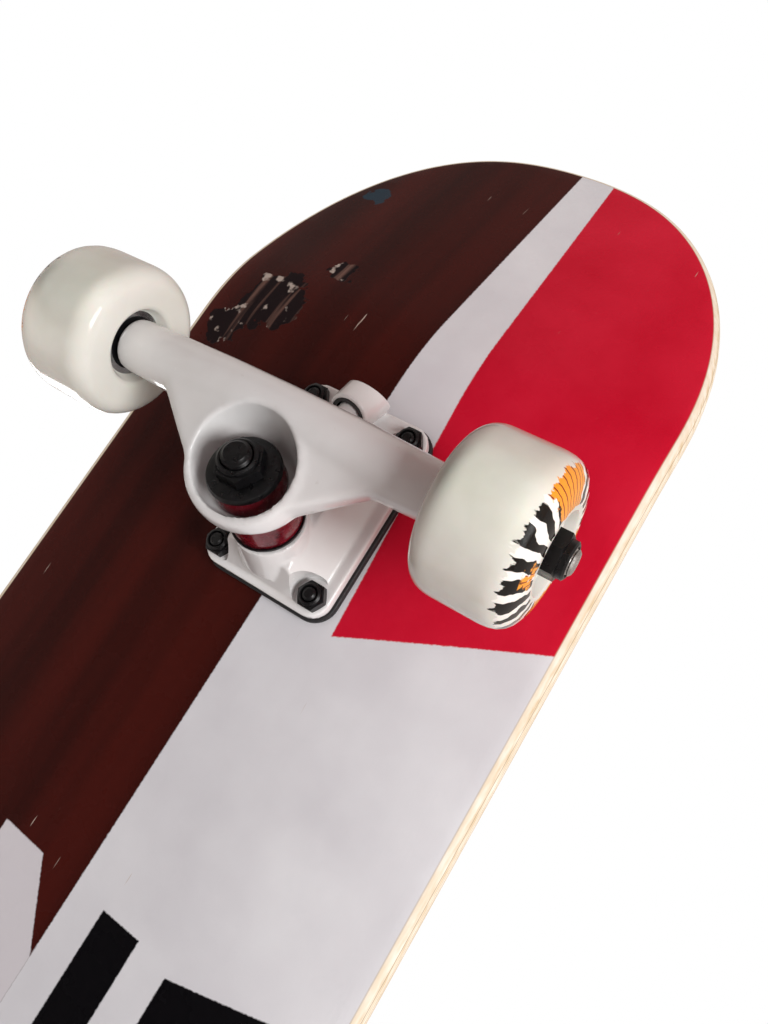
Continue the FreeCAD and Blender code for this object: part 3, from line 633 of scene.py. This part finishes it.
level = maths(tree, "DIVIDE", depth.outputs["X"], THICKNESS * MM / 7)
ply = maths(tree, "FRACT", level)
glue = maths(tree, "MAXIMUM", span(tree, ply, 0.10, 0.03), span(tree, ply, 0.90, 0.97))
odd = span(tree, maths(tree, "PINGPONG", level, 1.0), 0.35, 0.65)
veneer = blend(tree, odd, hex_colour("#E2D3BC"), hex_colour("#CDB796"))
edge_at = add(tree, "Mapping", Vector=place(tree), Scale=(0.25, 0.25, 2)).outputs["Vector"]
veneer = blend(tree, span(tree, noise(tree, 2, 5, edge_at), 0.35, 0.7), veneer,
               hex_colour("#EDE4D6"))
veneer = blend(tree, glue, veneer, hex_colour("#A08C72"))
on_edge = span(tree, depth.outputs["X"], 0.02 * MM, 0.12 * MM)
colour = blend(tree, on_edge, colour, veneer)
feed(tree, colour, skin, "Base Color")
dull = maths(tree, "MAXIMUM", chipped, on_edge)
shine = span(tree, noise(tree, 14, 4, flat), 0.3, 0.7, 0.2, 0.36)
feed(tree, maths(tree, "ADD", shine, maths(tree, "MULTIPLY", dull, 0.4)), skin, "Roughness")
relief = maths(tree, "SUBTRACT", maths(tree, "MULTIPLY", grain, 0.25), chipped)
bump(tree, skin, relief, 0.25, 0.6)
finish_piece(deck, "board", maple, ["deck"], 40)

# %% [markdown]
# Grip tape is black silicon carbide grit on a sticky film. Each grain is under half a
# millimetre, so it is drawn as bump a little coarser than it is, with a painted sparkle: the
# grain tops are a paler grey in the colour.

# %% Grip tape
grit, tree, skin = shader("silicon_carbide_grit", "#0E0E10", 0.75)
grains = noise(tree, 0.9, 4)
# Painted sparkle: the raised grain tops are given a paler grey, a painted glint.
painted_sparkle = span(tree, grains, 0.62, 0.75)
dust = span(tree, noise(tree, 60, 5), 0.45, 0.75)
colour = blend(tree, dust, hex_colour("#0D0D0F"), hex_colour("#2B2928"))
feed(tree, blend(tree, painted_sparkle, colour, hex_colour("#55555A")), skin, "Base Color")
feed(tree, span(tree, grains, 0.4, 0.75, 0.85, 0.35), skin, "Roughness")
bump(tree, skin, grains, 0.35, 0.9)
grip = slab("grip_sheet", THICKNESS + 0.02, THICKNESS + 0.78, 0, inset=0.9)
drill(grip, BOLT_HEAD + 0.05, THICKNESS - 3, THICKNESS + 4)
slice_up(grip)
pressed(grip)
finish_piece(grip, "board", grit, ["grip_tape"], 40)
print("grip sheet:", len(grip.data.polygons), "faces")

# %% [markdown]
# The riser pad is moulded rubber: a plate with round corners that softens the ride.

# %% Riser pad
def rounded_plate(name, length, width, low, high, corner, rounding):
    """Add a plate with round upright corners and softened rims."""
    piece = block(name, (0, 0, (low + high) / 2), (length, width, high - low))
    edit(piece, "EDGE")
    bpy.ops.mesh.select_all(action="DESELECT")
    done()
    for edge in piece.data.edges:
        start, end = (piece.data.vertices[index].co for index in edge.vertices)
        edge.select = abs(start.z - end.z) > (high - low) / 2
    bpy.ops.object.mode_set(mode="EDIT")
    bpy.ops.mesh.bevel(offset=corner, segments=10, affect="EDGES")
    done()
    modify(piece, "BEVEL", width=rounding, segments=3, limit_method="ANGLE",
           angle_limit=math.radians(50))
    return piece


def bolt_drills(radius):
    """Make the drills for a truck's four bolt holes."""
    return joined("drills", [lathe("drill", [(radius, -60), (radius, 30)], 40,
                                   matrix=Matrix.Translation((x, y, 0)))
                             for x, y in bolt_places()])


PLATE_LENGTH, PLATE_WIDTH = 79.6, 55.6
riser = rounded_plate("riser", PLATE_LENGTH, PLATE_WIDTH, -3, -0.02, 9, 0.6)
trim(riser, bolt_drills(BOLT_HOLE))
per_truck(riser, "riser_pad", "board", riser_rubber)

# %% [markdown]
# The baseplate is sand cast: a flange with a bolt at each corner, a pedestal that
# narrows away from the deck, a round boss for the kingpin and a tower for the pivot. The lumps
# are joined, melted into one skin by a voxel remesh and smoothed, which gives the soft inside
# corners of a casting. Its machined faces are cut afterwards, so they stay crisp.

# %% Baseplate
SEAT = 17.5
RIM = 1.0
flange = rounded_plate("flange", PLATE_LENGTH - 2 * RIM, PLATE_WIDTH - 2 * RIM, -7.6, -3.05, 7.5,
                       0.6)


def taper_foot(corner):
    """Draw in the pedestal's sides and ends towards its crown."""
    crown = corner.z < -12
    x = (12 if corner.x > 0 else -29) if crown else math.copysign(38, corner.x)
    return Vector((x, math.copysign(12.5 if crown else 24.5, corner.y), corner.z))


foot = block("foot", (0, 0, -12.7), (70, 40, 15), taper_foot)
boss = lathe("boss", [(12.9, SEAT + 0.4), (13.6, SEAT + 8), (14.4, 34)], matrix=KINGPIN)
tower = lathe("tower", [(7.9, -2.3), (8.1, 1), (8.7, 12)], matrix=PIVOT_FRAME)
ribs = [block("rib", (0, side * 8.5, -14.5), (46, 3.4, 14),
              lambda c: Vector((c.x * (0.8 if c.z < -14 else 1.3), c.y, c.z)))
        for side in (-1, 1)]
baseplate = joined("baseplate", [flange, foot, boss, tower] + ribs)
trim(baseplate, block("limit", (0, 0, -23), (PLATE_LENGTH, PLATE_WIDTH, 39.9)), "INTERSECT")
melt(baseplate, 0.6, 2)
reliefs = [lathe("relief", [(7.2, -50), (7.2, -8.4), (6.4, -7.7)], 48,
                 matrix=Matrix.Translation((x, y, 0))) for x, y in bolt_places()]
trim(baseplate, joined("reliefs", reliefs))
trim(baseplate, block("level", (0, 0, 0), (90, 70, 6.1)))
trim(baseplate, lathe("seat", [(14.6, SEAT - 12), (14.6, SEAT)], matrix=KINGPIN))
trim(baseplate, lathe("bore", [(4.95, SEAT - 5), (4.95, 60)], matrix=KINGPIN))
trim(baseplate, lathe("socket", [(7.6, -12), (6.52, -2.3), (6.52, 6.65)], matrix=PIVOT_FRAME))
trim(baseplate, bolt_drills(BOLT_HOLE))
print("baseplate:", len(baseplate.data.polygons), "faces")
per_truck(baseplate, "baseplate", "board", enamel, degrees=40)

# %% [markdown]
# The hanger is the T-shaped casting that turns: the axle's casing, a dished ring that
# the bushings grip, webs between them, and a tapered nose whose round tip sits in the
# pivot cup. It is built the same way as the baseplate.

# %% Hanger
CASING_HALF = 63.4
CASTING_VOXEL = 0.75
casing = lathe("casing", [(8.6, -CASING_HALF), (9.0, -CASING_HALF + 1.2), (9.3, -52),
                          (10.2, -24), (10.4, 0), (10.2, 24), (9.3, 52),
                          (9.0, CASING_HALF - 1.2), (8.6, CASING_HALF)], matrix=AXLE_FRAME)
WIDE = Matrix.Diagonal((1, 1.14, 1, 1))
drum = lathe("drum", [(17.8, -32), (17.6, -8), (17.2, -4.6), (15.6, -3.2), (13.2, -1.4),
                      (12.6, -1.0)], matrix=KINGPIN @ WIDE)
FACE_TILT = math.radians(22)
road_face = KINGPIN @ Matrix.Translation((-17.5, 0, -10.2)) @ Matrix.Rotation(FACE_TILT, 4, "Y")
trim(drum, block("slope", (20, 0, -20), (90, 90, 40), matrix=road_face))


def wing(side):
    """Make the web that flares from the casing towards the ring, on one side."""
    def shape(corner):
        inner, edge, road = side * corner.y < 24, corner.x < 0, corner.z < -50
        x = (-25 if inner else 3.5) if edge else 9
        y = (10 if inner else 46) * side
        if road:
            drop = (57.6 if inner else 59.5) if edge else (63.8 if inner else 62.4)
        else:
            drop = (49.0 if inner else 53.0) if edge else 46.0
        return Vector((x, y, -drop))
    return block("wing", (0, side * 24, -50), (10, 40, 10), shape)


def spine_shape(corner):
    """Slant the middle web from the casing to the pivot's root."""
    lower = corner.z < -40
    front = corner.x > 5
    x = (17.5 if front else 1) if lower else (16 if front else 3)
    z = (-56 if front else -50) if lower else (-30 if front else -36)
    return Vector((x, math.copysign(13 if lower else 8.5, corner.y), z))


spine = block("spine", (5, 0, -40), (20, 24, 20), spine_shape)
nose = lathe("nose", [(9.4, -27), (7.0, -16), (4.9, -7), (4.3, -3)], matrix=PIVOT_FRAME)
begin()
bpy.ops.mesh.primitive_uv_sphere_add(segments=48, ring_count=24, radius=4.9, location=PIVOT)
tip = bpy.context.object
hanger = joined("hanger", [casing, drum, wing(-1), wing(1), spine, nose, tip])
melt(hanger, CASTING_VOXEL, 14)
bowl = [(12.4, -4.4), (13.4, -5.2), (14.2, -8), (15.2, -13), (18.2, -34)]
trim(hanger, lathe("bowl", bowl, matrix=KINGPIN @ WIDE))
melt(hanger, CASTING_VOXEL, 5)
trim(hanger, lathe("throat", [(7.5, -9), (7.5, 9)], matrix=KINGPIN))
trim(hanger, lathe("under", [(13.0, -0.95), (13.0, 12)], matrix=KINGPIN))
trim(hanger, lathe("axle_bore", [(3.99, -70), (3.99, 70)], matrix=AXLE_FRAME))
for sign in (-1, 1):
    trim(hanger, block("face", (AXLE_X, sign * (CASING_HALF + 5), -AXLE_DROP), (30, 10, 30)))
print("hanger:", len(hanger.data.polygons), "faces")
per_truck(hanger, "hanger", "{end}_truck", enamel, degrees=40)

# %% [markdown]
# Bushings are turned: a barrel next to the board and a cone next to the road. Both bulge a
# little where they are squeezed.

# %% Bushings
BARREL = [(5.0, 15.98), (10.9, 15.98), (12.0, 15.3), (12.15, 13), (12.2, 10.4), (12.2, 5),
          (12.1, 1.4), (11.6, -0.4), (10.8, -0.9), (5.0, -0.9)]
CONE = [(5.0, -4.55), (11.0, -4.55), (11.8, -5.3), (11.7, -6.6), (10.9, -9), (9.9, -11.2),
        (9.2, -12.2), (8.4, -12.48), (5.0, -12.48)]
barrel = lathe("barrel", BARREL, closed=True, matrix=KINGPIN)
cone = lathe("cone", CONE, closed=True, matrix=KINGPIN)
for end in ENDS:
    for piece, label, near, far in ((barrel, "boardside", 16, -1), (cone, "roadside", -12.5, -4.5)):
        twin = copy(piece, f"{end}_{label}_bushing_skin", truck_frame(end))
        finish_piece(twin, None, cherry, [f"{end}_{label}_bushing"])
        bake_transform(twin)
for piece in (barrel, cone):
    bpy.data.objects.remove(piece)

# %% [markdown]
# The cup washers are pressed from sheet: a flat floor with a rim rolled over the bushing.
# The kingpin nut is a lock nut: a chamfered hexagon with a round collar that holds a nylon
# ring. The thread is a stack of V grooves, a millimetre apart, as on a fine thread.

# %% Washers, kingpin and lock nuts
def cup_washer(name, floor, rim, up, matrix):
    """Turn a cup washer: its floor lies at a height, its rim curls the way of up."""
    outline = [(5.05, 0), (rim - 1.6, 0), (rim - 0.5, 0.4), (rim, 1.4), (rim, 2.3),
               (rim - 0.7, 2.3), (rim - 0.8, 1.7), (rim - 1.9, 1.35), (5.05, 1.35)]
    corners = [(radius, floor + up * height) for radius, height in outline]
    return lathe(name, corners, closed=True, matrix=matrix)


def thread(radius, low, high, pitch=1.0, depth=0.45):
    """Give the outline of a threaded stretch, groove by groove."""
    turns = int((high - low) / pitch)
    outline = []
    for turn in range(turns):
        outline += [(radius, low + turn * pitch + 0.1), (radius - depth, low + turn * pitch + 0.5),
                    (radius, low + turn * pitch + 0.9)]
    return outline


def lock_nut(name, flats, low, high, bore, collar, matrix):
    """Make a lock nut whose collar points to its low end."""
    lip = low + collar
    piece = hexagon("nut_hex", flats, lip, high, 0.5)
    round_part = lathe("collar", [(flats / 2 - 1.3, low), (flats / 2 - 0.6, low + 0.5),
                                  (flats / 2 - 0.5, lip + 0.3)])
    trim(piece, round_part, "UNION")
    trim(piece, lathe("nut_bore", [(bore + 0.9, low - 1), (bore + 0.35, low + 0.7),
                                   (bore, low + 1.0), (bore, high + 1)]))
    piece.name = name
    piece.data.transform(matrix)
    return piece


lower_cup = cup_washer("lower_cup", 17.45, 12.75, -1, KINGPIN)
per_truck(lower_cup, "lower_cup_washer", "board", black_oxide)
top_cup = cup_washer("top_cup", -14.4, 11.95, 1, KINGPIN)
per_truck(top_cup, "top_cup_washer", "board", black_oxide)
pin = lathe("pin", [(3.6, -22.95), (4.2, -22.4)] + thread(4.7, -22.3, -12.3)
            + [(4.7, -12), (4.7, 25)], matrix=KINGPIN)
pin_head = hexagon("pin_head", 14.0, 24, 29.9, 0.6, KINGPIN)
pin = joined("pin", [pin, pin_head])
per_truck(pin, "kingpin", "board", black_oxide)
pin_nut = lock_nut("pin_nut", 14.2, -20.95, -14.5, 4.72, 1.8, KINGPIN)
per_truck(pin_nut, "kingpin_nut", "board", black_oxide)

bolts = []
nuts = []
for x, y in bolt_places():
    at = Matrix.Translation((x, y, 0))
    bolt = lathe("bolt", [(1.6, -13.25), (2.0, -12.9)] + thread(2.38, -12.8, -2.8, 0.8, 0.3)
                 + [(2.38, 0), (2.38, 7.7), (4.6, 10.2), (4.68, 10.6)], 40, matrix=at)
    trim(bolt, block("cross", (x, y, 10.4), (5.4, 0.9, 2.4)))
    trim(bolt, block("cross", (x, y, 10.4), (0.9, 5.4, 2.4)))
    bolts.append(bolt)
    nuts.append(lock_nut("bolt_nut", 9.3, -12.85, -7.55, 2.42, 1.7, at))
per_truck(joined("bolts", bolts), "mounting_bolts", "board", black_oxide)
per_truck(joined("nuts", nuts), "mounting_nuts", "board", black_oxide)

# %% [markdown]
# The axle is a steel rod, threaded at its ends. Each wheel sits between two thin washers and
# is held by a lock nut.

# %% Axle, its nuts and washers
HALF_AXLE = (axle_high.y - axle_low.y) / 2 / MM
threaded = thread(3.95, -HALF_AXLE + 0.5, -88.5, 1.0, 0.35)
rod = lathe("rod", [(3.3, -HALF_AXLE)] + threaded + [(3.95, -88), (3.95, 88)]
            + [(radius, -height) for radius, height in reversed(threaded)]
            + [(3.3, HALF_AXLE)], 64, matrix=AXLE_FRAME)
per_truck(rod, "axle", "{end}_truck", zinc)
axle_nuts = []
for sign in (-1, 1):
    outwards = facing((AXLE_X, 0, -AXLE_DROP), (0, sign, 0)) @ Matrix.Rotation(math.pi, 4, "X")
    axle_nuts.append(lock_nut("axle_nut", 12.7, -97.4, -89.7, 3.98, 2.2, outwards))
per_truck(joined("axle_nuts", axle_nuts), "axle_nuts", "{end}_truck", black_oxide)

# %% [markdown]
# A wheel is cast urethane, 52 mm across. Its outline runs from the bearing seat over the flat
# inner face and the tread to the rounder, printed outer face, and is turned about the axle. The
# print follows the angle about the axle, so the flat place of each point is kept as a UV map.

# %% Wheel shape
wheel_low, wheel_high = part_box("front_right_wheel")
TREAD = (wheel_high.z - wheel_low.z) / 2 / MM
HALF_WHEEL = (wheel_high.y - wheel_low.y) / 2 / MM
WHEEL_Y = (wheel_high.y + wheel_low.y) / 2 / MM
INNER_FACE = 19.6
SHOULDER_STEPS = 12


def wheel_outline():
    """Give the wheel's outline, from its inner side over the tread to its outer side."""
    inside = [(9.4, -5.0), (11.02, -5.0), (11.02, -12.3), (11.6, -12.8), (12.4, -15.2),
              (13.0, -15.9), (14.2, -16.35), (INNER_FACE, -16.35)]
    for step in range(1, SHOULDER_STEPS + 1):
        angle = math.pi / 2 * step / SHOULDER_STEPS
        radius = INNER_FACE + (TREAD - INNER_FACE) * math.sin(angle) ** 0.9
        inside.append((radius, -8.0 - (HALF_WHEEL - 8.15) * math.cos(angle) ** 0.8))
    outside = [(TREAD, 0), (TREAD, 5.6), (25.9, 7.6), (25.6, 9.6), (25.0, 11.4), (23.9, 13.1),
               (22.3, 14.4), (19.8, 15.5), (16.6, 16.2), (13.8, 16.35), (13.0, 16.2), (12.5, 15.6),
               (11.8, 12.9), (11.02, 12.3), (11.02, 5.0), (9.4, 5.0)]
    return inside + outside


wheel = lathe("wheel", wheel_outline(), 128, closed=True)
for name, pick in (("face", (0, 1)), ("reach", (2, 0))):
    layer = wheel.data.uv_layers.new(name=name)
    for loop in wheel.data.loops:
        point = wheel.data.vertices[loop.vertex_index].co
        layer.data[loop.index].uv = (point[pick[0]] * MM, point[pick[1]] * MM)
print("wheel:", len(wheel.data.polygons), "faces")

# %% [markdown]
# The urethane is off-white and warm. A printed ring runs round the outer face: black stripes
# that waver like brush strokes over white, with a few orange patches between thin black rims.

# %% Wheel material
urethane, tree, skin = shader("cast_cream_urethane", "#DEDBD2", 0.12, Subsurface_Weight=0.12,
                              Subsurface_Scale=0.003)
face = add(tree, "UVMap", {"uv_map": "face"}).outputs["UV"]
split = add(tree, "SeparateXYZ", Vector=face)
fx, fy = split.outputs["X"], split.outputs["Y"]
reach = add(tree, "SeparateXYZ", Vector=add(tree, "UVMap", {"uv_map": "reach"}).outputs["UV"])
radius = maths(tree, "SQRT", maths(tree, "ADD", maths(tree, "MULTIPLY", fx, fx),
                                   maths(tree, "MULTIPLY", fy, fy)))
angle = maths(tree, "ARCTAN2", fy, fx)
on_face = span(tree, reach.outputs["X"], 8.6 * MM, 8.8 * MM)
ragged = maths(tree, "MULTIPLY", maths(tree, "SUBTRACT", noise(tree, 2.5, 3, face), 0.5), 0.004)
frayed = maths(tree, "ADD", radius, ragged)
ring_mask = both(span(tree, frayed, 14.4 * MM, 14.6 * MM),
                 span(tree, frayed, 24.9 * MM, 24.7 * MM))
sway = maths(tree, "MULTIPLY", maths(tree, "SUBTRACT", noise(tree, 6.5, 2, face), 0.5), 6.0)
slant = maths(tree, "MULTIPLY", radius, 190.0)
STRIPES = 21
wave = maths(tree, "SINE", maths(tree, "ADD", maths(tree, "MULTIPLY", angle, STRIPES),
                                 maths(tree, "ADD", sway, slant)))
stripes = span(tree, maths(tree, "ADD", wave, maths(tree, "MULTIPLY", sway, 0.2)), -0.2, -0.05)


def patch(turn, half_width):
    """Give a pair of opposite patches about an angle, with a torn edge, in radians."""
    wave = maths(tree, "COSINE", maths(tree, "MULTIPLY", maths(tree, "SUBTRACT", angle, turn), 2))
    limit = math.cos(2 * half_width)
    return span(tree, maths(tree, "ADD", wave, maths(tree, "MULTIPLY", ragged, 120)),
                limit, limit + 0.04)


small = both(patch(-0.84, 0.17), span(tree, radius, 21.5 * MM, 21.2 * MM))
patches = maths(tree, "MAXIMUM", patch(-2.23, 0.42), small)
ink = blend(tree, stripes, hex_colour("#F4F0EA"), hex_colour("#0D0B09"))
ink = blend(tree, patches, ink, hex_colour("#F09A2C"))
STROKES = 61
stroke_wave = maths(tree, "ADD", maths(tree, "MULTIPLY", angle, STROKES), sway)
thin = span(tree, maths(tree, "SINE", stroke_wave), 0.80, 0.9)
ink = blend(tree, both(patches, thin), ink, hex_colour("#7A2A12"))
cream = blend(tree, span(tree, noise(tree, 22, 3), 0.3, 0.7), hex_colour("#DBD9D0"),
              hex_colour("#E3E1DA"))
dirt = span(tree, noise(tree, 3, 5), 0.62, 0.8)
tread = both(span(tree, radius, 25.2 * MM, 25.9 * MM), span(tree, noise(tree, 9, 4), 0.4, 0.6))
cream = blend(tree, maths(tree, "MULTIPLY", maths(tree, "MAXIMUM", dirt, tread), 0.07), cream,
              hex_colour("#A79F90"))
printed = both(on_face, ring_mask)
feed(tree, blend(tree, printed, cream, ink), skin, "Base Color")
feed(tree, span(tree, noise(tree, 6, 4), 0.3, 0.7, 0.08, 0.17), skin, "Roughness")
bump(tree, skin, noise(tree, 7, 3), 0.08, 0.3)

for end, forward in ENDS.items():
    for side, sign in SIDES.items():
        centre = (forward * (TRUCK_X + AXLE_X), sign * WHEEL_Y, UNDERSIDE - AXLE_DROP)
        at = Matrix.Scale(MM, 4) @ facing(centre, (0, sign, 0))
        twin = copy(wheel, f"{end}_{side}_wheel_skin", at)
        finish_piece(twin, f"{end}_{side}_wheel", urethane, [f"{end}_{side}_wheel"])
bpy.data.objects.remove(wheel)

# %% [markdown]
# The bearings, washers and pivot cups keep their CAD shapes, which are already right: they only
# take the finish of their steel, nylon or plastic.

# %% Finishes of the CAD nodes
FINISHES = {"bearing_outer_rings": ground_steel, "bearing_inner_rings": ground_steel,
            "bearing_balls": ground_steel, "bearing_shields": shield_steel,
            "bearing_cages": nylon, "speed_washers": zinc, "pivot_cup": cup_plastic}
for name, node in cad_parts.items():
    for ending, material in FINISHES.items():
        if name.endswith(ending):
            node.data.materials.clear()
            node.data.materials.append(material)

# %% [markdown]
# The board stands on a pale floor. The camera looks up from below the floor at the underside,
# so the floor is made to show only from above, like a one-way sheet, and casts no shadow on
# the side below it.

# %% Floor
begin()
bpy.ops.mesh.primitive_plane_add(size=60, location=(0, 0, 0))
floor = bpy.context.object
floor.name = "studio_floor"
floor.visible_shadow = False
paper, tree, skin = shader("pale_paper", "#E9E8E6", 0.8)
output = tree.nodes["Material Output"]
clear = add(tree, "BsdfTransparent")
back = add(tree, "NewGeometry").outputs["Backfacing"]
one_way = add(tree, "MixShader", _0=back, _1=skin.outputs["BSDF"], _2=clear.outputs["BSDF"])
tree.links.new(one_way.outputs["Shader"], output.inputs["Surface"])
floor.data.materials.append(paper)

# %% [markdown]
# The light is that of a white room with a large window: an even bright surround that is a
# little warm in the shade, a soft light low on the right and a broad one above on the left.

# %% Lights and camera
world = bpy.data.worlds.new("white_room")
bpy.context.scene.world = world
world.use_nodes = True
surround = world.node_tree.nodes["Background"]
seen = add(world.node_tree, "LightPath").outputs["Is Camera Ray"]
tint = blend(world.node_tree, seen, hex_colour("#FFF1E9"), hex_colour("#FFFFFF"))
strength = span(world.node_tree, seen, 0, 1, 0.52, 1.0)
world.node_tree.links.new(tint, surround.inputs["Color"])
world.node_tree.links.new(strength, surround.inputs["Strength"])
bpy.context.scene.view_settings.view_transform = "Standard"


def window(name, at, target, size, power):
    """Add a square soft light at a place, aimed at a target."""
    begin()
    bpy.ops.object.light_add(type="AREA", location=at)
    light = bpy.context.object
    light.name = name
    light.data.shape = "SQUARE"
    light.data.size = size
    light.data.energy = power
    light.rotation_mode = "QUATERNION"
    light.rotation_quaternion = (Vector(target) - Vector(at)).to_track_quat("-Z", "Y")
    return light


window("low_window", (0.17, 1.0, -0.55), (0.2, 0, 0.05), 0.45, 12)
window("high_window", (-0.6, -1.2, 1.6), (0, 0, 0.05), 1.2, 22)

begin()
bpy.ops.object.camera_add()
camera = bpy.context.object
camera.name = "camera"
camera.data.sensor_width = 36
camera.data.lens = 29.0
camera.data.clip_start = 0.01
right = Vector((0.5207, 0.8221, 0.2302))
up = Vector((0.83367, -0.43152, -0.34466))
backwards = right.cross(up)
turn = Matrix((right, up, backwards)).transposed().normalized()
camera.matrix_world = Matrix.Translation((0.15344, 0.13139, -0.18619)) @ turn.to_4x4()
bpy.context.scene.camera = camera
